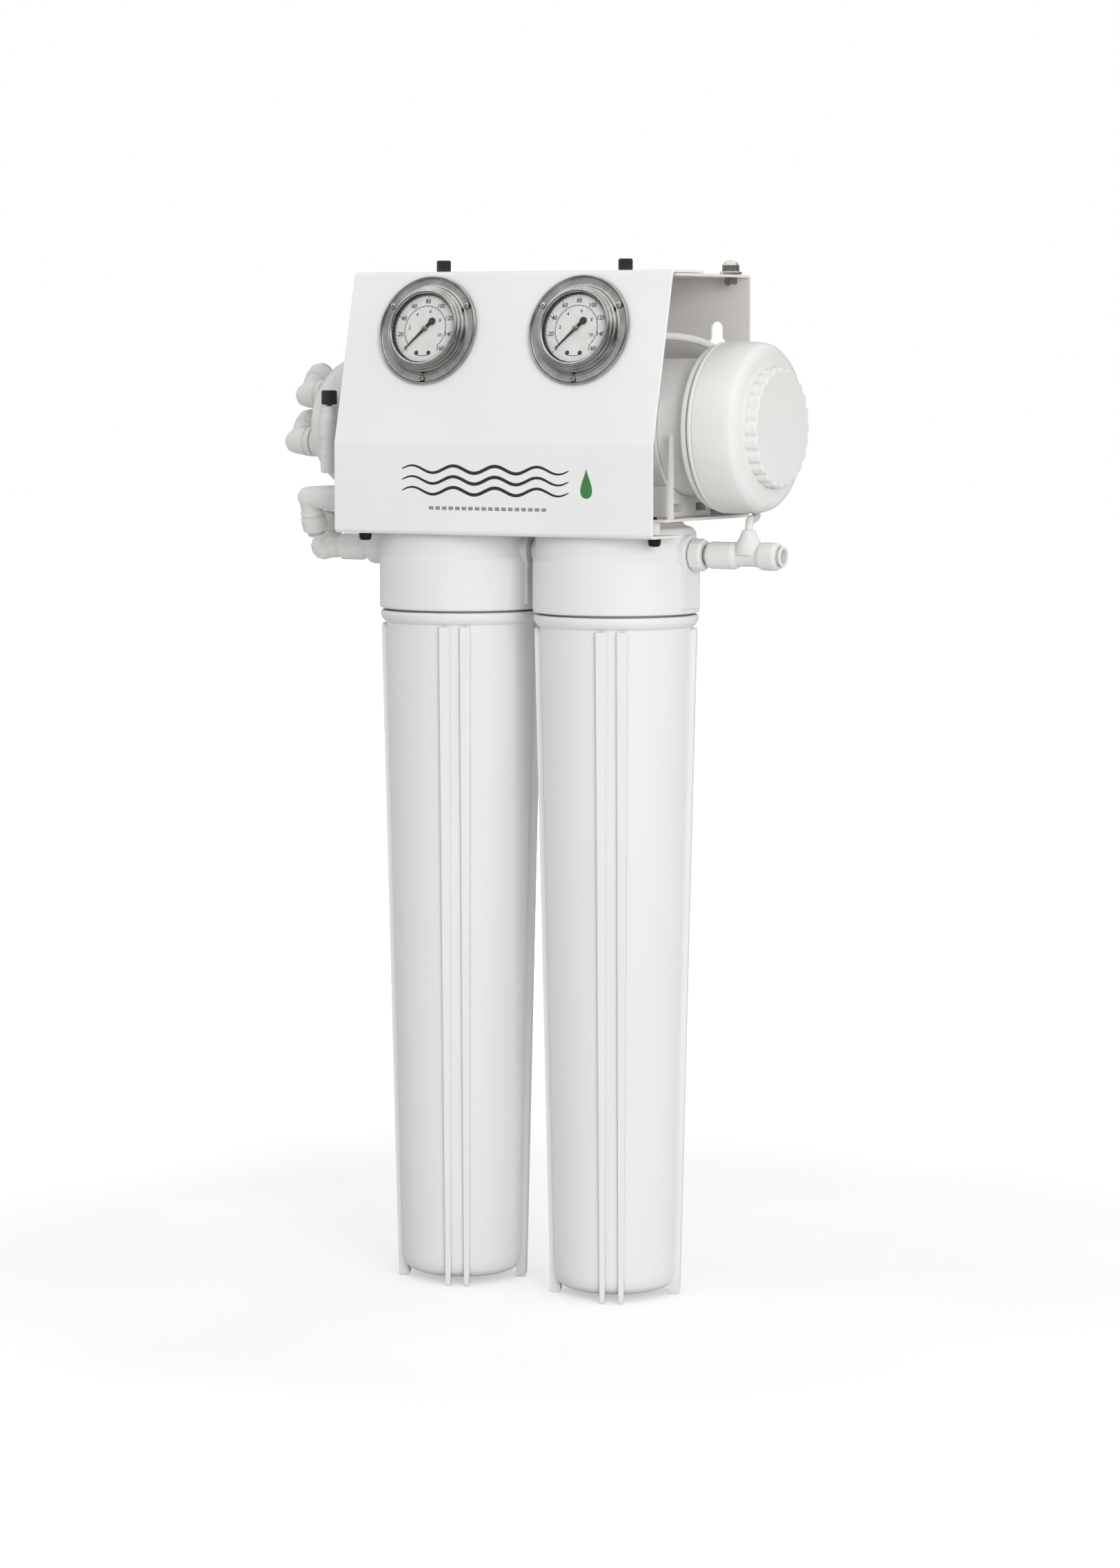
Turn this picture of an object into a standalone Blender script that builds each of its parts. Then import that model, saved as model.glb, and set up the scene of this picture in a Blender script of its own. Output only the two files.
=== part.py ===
"""Wall-hung reverse osmosis unit: two 20 inch filter housings hang under a sheet-metal bracket,
a membrane housing lies across it, and two pressure gauges sit in its front cover.

Metres, +Z up. X runs to the right, -Y is the front. The origin is the centre of the bracket's
rear face, which lies against the wall.
"""

import math

import bmesh
import bpy
from mathutils import Matrix, Vector

# Sheet metal
SHEET = 0.002
BEND = 0.003
GAP = 0.0003
HALF_WIDTH = 0.139
COVER_FRONT_Y = -0.160
COVER_TOP_Y = -0.1285
COVER_BEND_Z = -0.031
COVER_TOP_Z = 0.100
COVER_BOTTOM_Z = -0.100
TOP_LIP_END_Y = -0.078
BOTTOM_LIP_END_Y = -0.112
SHELF_Z = -0.086
SHELF_FRONT_Y = -0.140
TOP_FLANGE_Z = COVER_TOP_Z - SHEET - GAP
TOP_FLANGE_FRONT_Y = -0.122
EAR_TOP_Z = -0.023
EAR_FRONT_Y = -0.133
LEFT_EAR_BACK_Y = -0.113
LEFT_EAR_TAPER = 0.0085
RIGHT_EAR_BACK_Y = -0.1255
RIGHT_EAR_TAPER = 0.001
KEYHOLE_X = 0.111
KEYHOLE_SLOT_R = 0.005
KEYHOLE_SLOT_Z = 0.0573
KEYHOLE_HEAD_R = 0.009
KEYHOLE_HEAD_Z = 0.042

# Filter housings, 20 inch slim line
HOUSING_X = 0.0685
HOUSING_Y = -0.086
HEAD_R = 0.064
HEAD_TOP_Z = SHELF_Z - SHEET - GAP
HEAD_SHOULDER_Z = -0.119
HEAD_BOTTOM_Z = -0.1594
HEAD_CEILING_Z = -0.1295
HEAD_BORE_R = 0.057
SPIGOT_R = 0.014
SPIGOT_BORE_R = 0.008
SPIGOT_END_Z = -0.134
PORT_Z = -0.114
PORT_BORE_R = 0.009
PORT_BOSS_R = 0.015
PORT_FACE = 0.066
HEAD_SCREW_X = 0.026
VENT_Y = -0.032
TUBE_PORT_Y = -0.043
VENT_BORE_R = 0.0042

NECK_R = 0.0565
NECK_TOP_Z = -0.134
COLLAR_R = 0.0632
COLLAR_TOP_Z = -0.1606
COLLAR_BOTTOM_Z = -0.1700
SUMP_TOP_R = 0.0595
SUMP_BOTTOM_R = 0.0475
SUMP_WALL = 0.004
SUMP_BOTTOM_Z = -0.682
FOOT_Z = -0.687
RIB_OUT = 0.003
RIB_THICK = 0.0065
RIB_SPACING = 0.0155
RIB_TURN = math.radians(25)
CARTRIDGE_R = 0.0315
CARTRIDGE_BORE_R = 0.0140
CARTRIDGE_LENGTH = 0.508

# Membrane housing, lying along X
BARREL_Y = -0.068
BARREL_Z = -0.018
BARREL_R = 0.052
BARREL_WALL = 0.004
BARREL_LEFT_X = -0.172
DOME_DEPTH = 0.032
END_COLLAR_R = 0.0625
END_COLLAR_X = 0.1461
END_COLLAR_WIDTH = 0.005
THREAD_R = 0.057
THREAD_END_X = 0.178
CAP_R = 0.0648
CAP_BORE_R = 0.0578
CAP_REAR_X = 0.1526
CAP_SHOULDER_X = 0.183
CAP_FACE_X = 0.192
CAP_GRIP_X = 0.201
CAP_GRIP_R = 0.0452
CAP_INNER_X = 0.184
GRIP_LOBES = 24
GRIP_DEPTH = 0.0022
CLIP_X = 0.1125
CLIP_WIDTH = 0.018
CLIP_R = 0.0565
CLIP_BASE_HALF = 0.036
CLIP_MOUTH_UP = 0.022

# Gauges, 63 mm with a front flange
GAUGE_X = 0.066
GAUGE_Z = 0.055
GAUGE_FLANGE_R = 0.0425
GAUGE_CASE_R = 0.0315
GAUGE_BOLT_R = 0.0375
GAUGE_BOLT_ANGLES = (30, 150, 270)
GAUGE_BACK = -0.028
GAUGE_STEM_END = -0.040
BEZEL_TOP = 0.0110
DIAL_HEIGHT = 0.0046
NEEDLE_HEIGHT = 0.0068
LENS_HEIGHT = 0.0086
NEEDLE_ZERO = math.radians(225)

# Screws, tubes and fittings
THUMB_X = 0.080
THUMB_Y = -0.093
THUMB_R = 0.0055
THUMB_HEIGHT = 0.009
COVER_SCREW_X = 0.127
COVER_SCREW_Y = -0.134
STANDOFF_R = 0.0045
TOP_BOLT_X = 0.130
TOP_BOLT_Y = -0.016
TUBE_R = 0.003175
COLLET_TRAVEL = 0.002

# Ports on the dome of the membrane housing, as (y, z, face x, boss radius), and the tee, drain and valve
PORTS = {
    "product": (-0.066, 0.0046, -0.2050, 0.0130),
    "waste": (-0.079, -0.0320, -0.2070, 0.0120),
    "feed": (-0.034, -0.0260, -0.2070, 0.0105),
}
TEE_X = 0.182
DRAIN_Y = -0.1235
DRAIN_Z = -0.0745
DRAIN_REACH = 0.0462
DRAIN_LEAN = Vector((0, 0.4, -1)).normalized()
INLET_LEAN = Vector((0, 0.4, 1)).normalized()
VALVE_X = -0.163
VALVE_Y = -0.1285
VALVE_STUB_Y = -0.1245
VALVE_STUB_Z = -0.0450

COVER_SLOPE = math.atan2(COVER_TOP_Y - COVER_FRONT_Y, COVER_TOP_Z - COVER_BEND_Z)
COVER_NORMAL = Vector((0, -math.cos(COVER_SLOPE), math.sin(COVER_SLOPE)))
GAUGE_Y = COVER_FRONT_Y + math.tan(COVER_SLOPE) * (GAUGE_Z - COVER_BEND_Z)

LEFT = Vector((-1, 0, 0))
RIGHT = Vector((1, 0, 0))
UP = Vector((0, 0, 1))
DOWN = Vector((0, 0, -1))


# ---------------------------------------------------------------- scene and helpers


def clear_scene():
    for obj in list(bpy.data.objects):
        bpy.data.objects.remove(obj)


def new_collection(name):
    collection = bpy.data.collections.new(name)
    bpy.context.scene.collection.children.link(collection)
    return collection


def material(name, colour, roughness, metallic=0.0, alpha=1.0):
    mat = bpy.data.materials.new(name)
    mat.use_nodes = True
    shader = mat.node_tree.nodes["Principled BSDF"]
    shader.inputs["Base Color"].default_value = (*colour, 1)
    shader.inputs["Roughness"].default_value = roughness
    shader.inputs["Metallic"].default_value = metallic
    shader.inputs["Alpha"].default_value = alpha
    return mat


def place(name, mesh, mat, location=(0, 0, 0), direction=UP):
    """A named part, with its local Z turned along the direction."""
    obj = bpy.data.objects.new(name, mesh)
    obj.location = location
    obj.rotation_euler = UP.rotation_difference(Vector(direction)).to_euler()
    if mat is None:
        cutters.objects.link(obj)
        obj.hide_render = True
        obj.display_type = "WIRE"
    else:
        parts.objects.link(obj)
        obj.data.materials.append(mat)
    return obj


def mesh_from(name, build):
    mesh = bpy.data.meshes.new(name)
    work = bmesh.new()
    build(work)
    work.to_mesh(mesh)
    work.free()
    mesh.shade_smooth()
    mesh.set_sharp_from_angle(angle=math.radians(35))
    return mesh


def turned(name, profile, mat, location=(0, 0, 0), direction=UP, steps=12):
    """A closed (radius, height) profile, from the axis down the outer side and back, turned round Z."""

    def build(work):
        points = [work.verts.new((radius, 0, height)) for radius, height in profile]
        for start, end in zip(points, points[1:]):
            work.edges.new((start, end))

    obj = place(name, mesh_from(name, build), mat, location, direction)
    screw = obj.modifiers.new("turn", "SCREW")
    screw.steps = steps
    screw.render_steps = steps
    screw.use_merge_vertices = True
    screw.merge_threshold = 0.00001
    screw.use_smooth_shade = True
    return obj


def cylinder(name, radius, start, end, mat=None, steps=12):
    """A round bar between two points, with its origin at the start."""
    start = Vector(start)
    along = Vector(end) - start
    length = along.length

    def build(work):
        bmesh.ops.create_cone(
            work, cap_ends=True, segments=steps, radius1=radius, radius2=radius, depth=length,
            matrix=Matrix.Translation((0, 0, length / 2)),
        )

    return place(name, mesh_from(name, build), mat, start, along)


def ball(name, radius, centre):
    def build(work):
        bmesh.ops.create_uvsphere(work, u_segments=12, v_segments=6, radius=radius)

    return place(name, mesh_from(name, build), None, centre)


def box(name, low, high, mat=None):
    centre = (Vector(low) + Vector(high)) / 2
    size = Vector(high) - Vector(low)

    def build(work):
        bmesh.ops.create_cube(work, size=1, matrix=Matrix.Diagonal((*size, 1)))

    return place(name, mesh_from(name, build), mat, centre)


def outline_mesh(name, points, thickness):
    """A flat outline in XY as a mesh, with its thickness centred on Z = 0."""
    curve = bpy.data.curves.new(name, "CURVE")
    curve.dimensions = "2D"
    curve.fill_mode = "BOTH"
    curve.extrude = thickness / 2
    spline = curve.splines.new("POLY")
    spline.points.add(len(points) - 1)
    for point, (x, y) in zip(spline.points, points):
        point.co = (x, y, 0, 1)
    spline.use_cyclic_u = True
    holder = bpy.data.objects.new(name, curve)
    bpy.context.scene.collection.objects.link(holder)
    bpy.context.view_layer.update()
    graph = bpy.context.evaluated_depsgraph_get()
    mesh = bpy.data.meshes.new_from_object(holder.evaluated_get(graph))
    bpy.data.objects.remove(holder)
    work = bmesh.new()
    work.from_mesh(mesh)
    bmesh.ops.remove_doubles(work, verts=work.verts, dist=0.000001)
    bmesh.ops.recalc_face_normals(work, faces=work.faces)
    work.to_mesh(mesh)
    work.free()
    return mesh


def repeated(name, mesh, matrices):
    """One helper mesh holding a copy of the mesh at each matrix."""

    def build(work):
        for matrix in matrices:
            first = len(work.verts)
            work.from_mesh(mesh)
            work.verts.ensure_lookup_table()
            bmesh.ops.transform(work, matrix=matrix, verts=work.verts[first:])

    return mesh_from(name, build)


def boolean(obj, other, operation):
    modifier = obj.modifiers.new(other.name, "BOOLEAN")
    modifier.operation = operation
    modifier.object = other
    return obj


def cut(obj, *others):
    for other in others:
        boolean(obj, other, "DIFFERENCE")
    return obj


def fuse(obj, *others):
    for other in others:
        boolean(obj, other, "UNION")
    return obj


def rounded(corners, radius, steps=3):
    """The open polyline through the corners, with each inner corner replaced by an arc."""
    points = [Vector(corners[0])]
    for before, corner, after in zip(corners, corners[1:], corners[2:]):
        corner = Vector(corner)
        back = (Vector(before) - corner).normalized()
        ahead = (Vector(after) - corner).normalized()
        half = back.angle(ahead) / 2
        inset = radius / math.tan(half)
        centre = corner + (back + ahead).normalized() * radius / math.sin(half)
        start = corner + back * inset - centre
        end = corner + ahead * inset - centre
        for step in range(steps + 1):
            points.append(centre + start.lerp(end, step / steps).normalized() * radius)
    points.append(Vector(corners[-1]))
    return points


def folded_sheet(name, corners, mat):
    """A sheet as wide as the bracket, folded along the (y, z) corners of its middle surface."""

    def build(work):
        rows = []
        for y, z in rounded(corners, BEND):
            rows.append([work.verts.new((x, y, z)) for x in (-HALF_WIDTH, HALF_WIDTH)])
        for (a, b), (c, d) in zip(rows, rows[1:]):
            work.faces.new((a, b, d, c))

    obj = place(name, mesh_from(name, build), mat)
    solidify = obj.modifiers.new("thickness", "SOLIDIFY")
    solidify.thickness = SHEET
    solidify.offset = 0
    solidify.use_even_offset = True
    return obj


def smooth_path(knots, steps):
    """Points of a Catmull-Rom curve through the knots, with its first and last spans straight."""
    knots = [Vector(knot) for knot in knots]
    points = [knots[0]]
    for a, b, c, d in zip(knots, knots[1:], knots[2:], knots[3:]):
        for step in range(steps):
            t = step / steps
            points.append(
                0.5 * (2 * b + (c - a) * t)
                + 0.5 * (2 * a - 5 * b + 4 * c - d) * t**2
                + 0.5 * (3 * b - a - 3 * c + d) * t**3
            )
    points.extend(knots[-2:])
    return points


def tube(name, knots, mat, steps=2):
    curve = bpy.data.curves.new(name, "CURVE")
    curve.dimensions = "3D"
    curve.bevel_depth = TUBE_R
    curve.bevel_resolution = 2
    curve.use_fill_caps = True
    spline = curve.splines.new("POLY")
    points = smooth_path(knots, steps)
    spline.points.add(len(points) - 1)
    for point, place_at in zip(spline.points, points):
        point.co = (*place_at, 1)
    obj = bpy.data.objects.new(name, curve)
    obj.data.materials.append(mat)
    parts.objects.link(obj)
    return obj


# ---------------------------------------------------------------- bracket and cover


def keyhole(x):
    """The keyhole cutter: a round head below, and a narrower slot above it."""
    neck = math.asin(KEYHOLE_SLOT_R / KEYHOLE_HEAD_R)
    points = []
    for step in range(9):
        turn = math.pi * step / 8
        points.append((KEYHOLE_SLOT_R * math.cos(turn), KEYHOLE_SLOT_Z + KEYHOLE_SLOT_R * math.sin(turn)))
    for step in range(17):
        turn = math.pi / 2 + neck + (2 * math.pi - 2 * neck) * step / 16
        points.append((KEYHOLE_HEAD_R * math.cos(turn), KEYHOLE_HEAD_Z + KEYHOLE_HEAD_R * math.sin(turn)))
    mesh = outline_mesh("keyhole", points, 6 * SHEET)
    obj = place(f"keyhole_cutter_{x}", mesh, None, (x, 0, 0))
    obj.rotation_euler = (math.radians(90), 0, 0)
    return obj


def ear(side):
    """The upright tapered ear at an end of the shelf, as a helper to fuse on."""
    low = SHELF_Z - SHEET / 2
    back, taper = (LEFT_EAR_BACK_Y, LEFT_EAR_TAPER)
    if side > 0:
        back, taper = (RIGHT_EAR_BACK_Y, RIGHT_EAR_TAPER)
    points = [
        (EAR_FRONT_Y, low),
        (back, low),
        (back - taper, EAR_TOP_Z),
        (EAR_FRONT_Y + 0.004, EAR_TOP_Z),
    ]
    mesh = outline_mesh("ear", points, SHEET)
    obj = place(f"ear_{side}", mesh, None, (side * (HALF_WIDTH - SHEET / 2), 0, 0))
    obj.rotation_euler = (math.radians(90), 0, math.radians(90))
    return obj


def vertical_holes(name, places, radius, low, high):
    """One cutter holding a vertical bar at each (x, y)."""
    source = bpy.data.meshes.new(name)
    work = bmesh.new()
    bmesh.ops.create_cone(
        work, cap_ends=True, segments=8, radius1=radius, radius2=radius, depth=high - low
    )
    work.to_mesh(source)
    work.free()
    matrices = [Matrix.Translation((x, y, (low + high) / 2)) for x, y in places]
    return place(name, repeated(name, source, matrices), None)


def rear_bracket():
    corners = [
        (TOP_FLANGE_FRONT_Y, TOP_FLANGE_Z - SHEET / 2),
        (-SHEET / 2, TOP_FLANGE_Z - SHEET / 2),
        (-SHEET / 2, SHELF_Z - SHEET / 2),
        (SHELF_FRONT_Y, SHELF_Z - SHEET / 2),
    ]
    obj = folded_sheet("rear_bracket", corners, powder_coat)
    fuse(obj, ear(-1), ear(1))
    standoffs = [(side * COVER_SCREW_X, COVER_SCREW_Y) for side in (-1, 1)]
    lip_top = COVER_BOTTOM_Z + SHEET + GAP
    fuse(obj, vertical_holes("standoffs", standoffs, STANDOFF_R, lip_top, SHELF_Z - SHEET / 2))
    cut(obj, keyhole(-KEYHOLE_X), keyhole(KEYHOLE_X))
    cut(obj, vertical_holes("standoff_bores", standoffs, 0.0023, -0.12, -0.08))
    thumbs = [(side * THUMB_X, THUMB_Y) for side in (-1, 1)]
    cut(obj, vertical_holes("thumb_bores", thumbs, 0.0024, 0.09, 0.11))
    cut(obj, vertical_holes("top_bolt_bore", [(TOP_BOLT_X, TOP_BOLT_Y)], 0.0043, 0.09, 0.11))
    screws = [(x, HOUSING_Y) for x in head_screw_places()]
    cut(obj, vertical_holes("head_screw_bores", screws, 0.0033, -0.095, -0.08))
    vents = [(side * HOUSING_X, HOUSING_Y + VENT_Y) for side in (-1, 1)]
    cut(obj, vertical_holes("vent_openings", vents, 0.0062, -0.095, -0.08))
    cut(obj, vertical_holes("tube_opening", [(-HOUSING_X, TUBE_PORT_Y)], 0.0045, -0.095, -0.08))
    cut(obj, cylinder("drain_bore", 0.0064, (-0.16, DRAIN_Y, DRAIN_Z), (-0.12, DRAIN_Y, DRAIN_Z)))
    valve_start = (-0.16, VALVE_STUB_Y, VALVE_STUB_Z)
    valve_end = (-0.12, VALVE_STUB_Y, VALVE_STUB_Z)
    cut(obj, cylinder("valve_bore", 0.0033, valve_start, valve_end))
    return obj


def front_cover():
    half = SHEET / 2
    corners = [
        (BOTTOM_LIP_END_Y, COVER_BOTTOM_Z + half),
        (COVER_FRONT_Y + half, COVER_BOTTOM_Z + half),
        (COVER_FRONT_Y + half, COVER_BEND_Z),
        (COVER_TOP_Y + half, COVER_TOP_Z - half),
        (TOP_LIP_END_Y, COVER_TOP_Z - half),
    ]
    obj = folded_sheet("front_cover", corners, powder_coat)
    housings = [(side * HOUSING_X, HOUSING_Y) for side in (-1, 1)]
    for index, spot in enumerate(housings):
        cut(obj, vertical_holes(f"housing_clearance_{index}", [spot], HEAD_R + 0.0025, -0.12, -0.09))
    screws = [(side * COVER_SCREW_X, COVER_SCREW_Y) for side in (-1, 1)]
    cut(obj, vertical_holes("cover_screw_bores", screws, 0.0026, -0.11, -0.09))
    thumbs = [(side * THUMB_X, THUMB_Y) for side in (-1, 1)]
    cut(obj, vertical_holes("cover_thumb_bores", thumbs, 0.0028, 0.09, 0.11))
    for side in (-1, 1):
        start = gauge_point(side, -0.02)
        end = gauge_point(side, 0.02)
        cut(obj, cylinder(f"gauge_opening_{side}", 0.0325, start, end, steps=20))
        for angle in GAUGE_BOLT_ANGLES:
            start = gauge_point(side, -0.01, GAUGE_BOLT_R, angle)
            end = gauge_point(side, 0.01, GAUGE_BOLT_R, angle)
            cut(obj, cylinder(f"gauge_screw_bore_{side}_{angle}", 0.0022, start, end, steps=8))
    return obj


def hexagon(name, across_flats, low, high, centre):
    radius = across_flats / math.sqrt(3)
    return cylinder(name, radius, (*centre, low), (*centre, high), steps=6)


def bracket_screws():
    for side, name in ((-1, "left"), (1, "right")):
        turned(
            f"thumb_screw_{name}",
            [
                (0, THUMB_HEIGHT),
                (THUMB_R - 0.0005, THUMB_HEIGHT),
                (THUMB_R, THUMB_HEIGHT - 0.0005),
                (THUMB_R, 0),
                (0.0021, 0),
                (0.0021, -0.012),
                (0, -0.012),
            ],
            black_plastic,
            (side * THUMB_X, THUMB_Y, COVER_TOP_Z + GAP),
        )
        turned(
            f"cover_screw_{name}",
            [
                (0, 0.016),
                (0.0020, 0.016),
                (0.0020, 0),
                (0.0058, 0),
                (0.0058, -0.0022),
                (0.0046, -0.0055),
                (0, -0.0060),
            ],
            plated_steel,
            (side * COVER_SCREW_X, COVER_SCREW_Y, COVER_BOTTOM_Z - GAP),
        )
    bolt = (TOP_BOLT_X, TOP_BOLT_Y)
    shank = cylinder("top_bolt", 0.0039, (*bolt, 0.0895), (*bolt, 0.1050), plated_steel)
    flange_low = TOP_FLANGE_Z - SHEET
    fuse(shank, hexagon("top_bolt_hex", 0.010, 0.0905, flange_low - GAP, bolt))
    nut_low = TOP_FLANGE_Z + GAP
    nut = turned(
        "top_nut",
        [
            (0, 0.0108),
            (0.0030, 0.0104),
            (0.0054, 0.0088),
            (0.0062, 0.0060),
            (0.0062, 0.0030),
            (0.0085, 0.0018),
            (0.0085, 0),
            (0, 0),
        ],
        plated_steel,
        (*bolt, nut_low),
    )
    hexed = hexagon("top_nut_hex", 0.013, nut_low + 0.0012, nut_low + 0.0062, bolt)
    bore = cylinder("top_nut_bore", 0.0042, (*bolt, nut_low - 0.001), (*bolt, nut_low + 0.008))
    cut(fuse(nut, hexed), bore)


# ---------------------------------------------------------------- filter housings


def head_screw_places():
    return [side * HOUSING_X + step * HEAD_SCREW_X for side in (-1, 1) for step in (-1, 1)]


def filter_head(name, x):
    """The head: a thick crown with two ports, and a skirt whose bore takes the sump's neck."""
    obj = turned(
        name,
        [
            (0, HEAD_TOP_Z),
            (0.050, HEAD_TOP_Z),
            (0.052, HEAD_TOP_Z - 0.004),
            (0.0585, HEAD_TOP_Z - 0.006),
            (0.0615, HEAD_TOP_Z - 0.010),
            (HEAD_R - 0.0015, HEAD_SHOULDER_Z + 0.0015),
            (HEAD_R, HEAD_SHOULDER_Z),
            (HEAD_R, HEAD_BOTTOM_Z + 0.001),
            (HEAD_R - 0.001, HEAD_BOTTOM_Z),
            (HEAD_BORE_R, HEAD_BOTTOM_Z),
            (HEAD_BORE_R, HEAD_CEILING_Z),
            (SPIGOT_R, HEAD_CEILING_Z),
            (SPIGOT_R, SPIGOT_END_Z),
            (SPIGOT_BORE_R, SPIGOT_END_Z),
            (SPIGOT_BORE_R, PORT_Z),
            (0, PORT_Z),
        ],
        white_plastic,
        (x, HOUSING_Y, 0),
        steps=24,
    )
    def along(offset):
        return (x + offset, HOUSING_Y, PORT_Z)

    past_face = PORT_FACE + 0.001
    bosses = cylinder(f"{name}_port_bosses", PORT_BOSS_R, along(-PORT_FACE), along(PORT_FACE))
    fuse(obj, bosses)
    cut(
        obj,
        cylinder(f"{name}_outlet_bore", PORT_BORE_R, along(0), along(past_face)),
        cylinder(f"{name}_inlet_bore", PORT_BORE_R, along(-0.030), along(-past_face)),
    )
    drop_x = x - 0.036
    cut(
        obj,
        vertical_holes(f"{name}_drop", [(drop_x, HOUSING_Y)], 0.006, HEAD_CEILING_Z - 0.001, PORT_Z),
        vertical_holes(f"{name}_vent_bore", [(x, HOUSING_Y + VENT_Y)], VENT_BORE_R, -0.1005, -0.080),
        vertical_holes(
            f"{name}_screw_bores",
            [(x - HEAD_SCREW_X, HOUSING_Y), (x + HEAD_SCREW_X, HOUSING_Y)],
            0.0030,
            -0.1035,
            -0.080,
        ),
    )
    if x < 0:
        cut(obj, vertical_holes(f"{name}_gauge_port", [(x, TUBE_PORT_Y)], TUBE_R + GAP, -0.1000, -0.080))
    return obj


def sump_radius(z):
    """The sump's outer radius at a height: a straight taper from the collar to the bottom."""
    share = (COLLAR_BOTTOM_Z - z) / (COLLAR_BOTTOM_Z - SUMP_BOTTOM_Z)
    return SUMP_TOP_R + (SUMP_BOTTOM_R - SUMP_TOP_R) * share


def rib_mesh():
    """One rib in the (radius, height) plane, standing out of the wall and ending in a foot."""
    top = COLLAR_BOTTOM_Z - 0.0012
    root = 0.002
    foot_r = sump_radius(SUMP_BOTTOM_Z) + RIB_OUT
    points = [
        (sump_radius(top) - root, top),
        (sump_radius(SUMP_BOTTOM_Z) - root, SUMP_BOTTOM_Z + 0.006),
        (foot_r - 0.0045, FOOT_Z),
        (foot_r, FOOT_Z),
        (sump_radius(top) + RIB_OUT, top),
    ]
    return outline_mesh("rib", points, RIB_THICK)


def filter_sump(name, x):
    bottom = SUMP_BOTTOM_Z
    inner_floor = bottom + 0.005
    post_top = NECK_TOP_Z - GAP - CARTRIDGE_LENGTH - GAP
    obj = turned(
        name,
        [
            (NECK_R - 0.005, NECK_TOP_Z),
            (NECK_R, NECK_TOP_Z),
            (NECK_R, COLLAR_TOP_Z),
            (COLLAR_R - 0.001, COLLAR_TOP_Z),
            (COLLAR_R, COLLAR_TOP_Z - 0.001),
            (COLLAR_R, COLLAR_BOTTOM_Z + 0.003),
            (COLLAR_R - 0.0015, COLLAR_BOTTOM_Z + 0.0005),
            (SUMP_TOP_R, COLLAR_BOTTOM_Z),
            (sump_radius(bottom + 0.010), bottom + 0.010),
            (SUMP_BOTTOM_R - 0.0008, bottom + 0.004),
            (SUMP_BOTTOM_R - 0.0035, bottom + 0.001),
            (SUMP_BOTTOM_R - 0.007, bottom),
            (0, bottom),
            (0, post_top),
            (0.011, post_top),
            (0.012, post_top - 0.002),
            (0.012, inner_floor),
            (SUMP_BOTTOM_R - SUMP_WALL - 0.002, inner_floor),
            (SUMP_BOTTOM_R - SUMP_WALL, inner_floor + 0.003),
            (SUMP_TOP_R - SUMP_WALL, COLLAR_BOTTOM_Z - 0.006),
            (NECK_R - 0.005, COLLAR_TOP_Z - 0.003),
            (NECK_R - 0.005, NECK_TOP_Z),
        ],
        white_plastic,
        (x, HOUSING_Y, 0),
        steps=24,
    )
    matrices = []
    for quarter in range(4):
        turn = RIB_TURN - math.radians(90) + quarter * math.radians(90)
        for side in (-1, 1):
            upright = Matrix.Rotation(math.radians(90), 4, "X")
            shift = Matrix.Translation((0, side * RIB_SPACING / 2, 0))
            matrices.append(Matrix.Rotation(turn, 4, "Z") @ shift @ upright)
    ribs = place(f"{name}_ribs", repeated(f"{name}_ribs", rib_mesh(), matrices), None, (x, HOUSING_Y, 0))
    return fuse(obj, ribs)


def ring(name, major, minor, mat, location, direction=UP, steps=20):
    """An O-ring: a turned circle, its profile running down the outer side first."""
    profile = []
    for step in range(7):
        turn = math.pi / 2 - 2 * math.pi * step / 6
        profile.append((major + minor * math.cos(turn), minor * math.sin(turn)))
    return turned(name, profile, mat, location, direction, steps)


def cartridge(name, x, mat):
    top = NECK_TOP_Z - GAP
    bottom = top - CARTRIDGE_LENGTH
    cap = 0.008
    return turned(
        name,
        [
            (CARTRIDGE_BORE_R, top),
            (CARTRIDGE_R - 0.001, top),
            (CARTRIDGE_R - 0.001, top - cap),
            (CARTRIDGE_R, top - cap),
            (CARTRIDGE_R, bottom + cap),
            (CARTRIDGE_R - 0.001, bottom + cap),
            (CARTRIDGE_R - 0.001, bottom),
            (CARTRIDGE_BORE_R, bottom),
            (CARTRIDGE_BORE_R, top),
        ],
        mat,
        (x, HOUSING_Y, 0),
        steps=16,
    )


def vent_button(name, x):
    return turned(
        name,
        [
            (0, 0.004),
            (0.0045, 0.004),
            (0.0055, 0.003),
            (0.0055, 0),
            (0.0038, 0),
            (0.0038, -0.013),
            (0, -0.013),
        ],
        red_plastic,
        (x, HOUSING_Y + VENT_Y, -0.0835),
        steps=10,
    )


def head_screw(name, x):
    centre = (x, HOUSING_Y)
    low = SHELF_Z + GAP
    obj = turned(
        name,
        [(0, 0.0010), (0.0065, 0.0010), (0.0065, 0), (0.0027, 0), (0.0027, -0.0155), (0, -0.0155)],
        plated_steel,
        (*centre, low),
        steps=10,
    )
    return fuse(obj, hexagon(f"{name}_hex", 0.010, low + 0.0005, low + 0.0048, centre))


def filter_housings():
    for side, name, filler, medium in (
        (-1, "left", "sediment_cartridge", spun_white),
        (1, "right", "carbon_cartridge", carbon_grey),
    ):
        x = side * HOUSING_X
        filter_head(f"{name}_head", x)
        filter_sump(f"{name}_sump", x)
        seal_at = (x, HOUSING_Y, NECK_TOP_Z + GAP + 0.0018)
        ring(f"{name}_seal", 0.054, 0.0018, seal_rubber, seal_at, steps=16)
        cartridge(filler, x, medium)
        vent_button(f"{name}_vent_button", x)
    for index, x in enumerate(head_screw_places(), 1):
        head_screw(f"head_screw_{index}", x)
    link_nipple()


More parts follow.
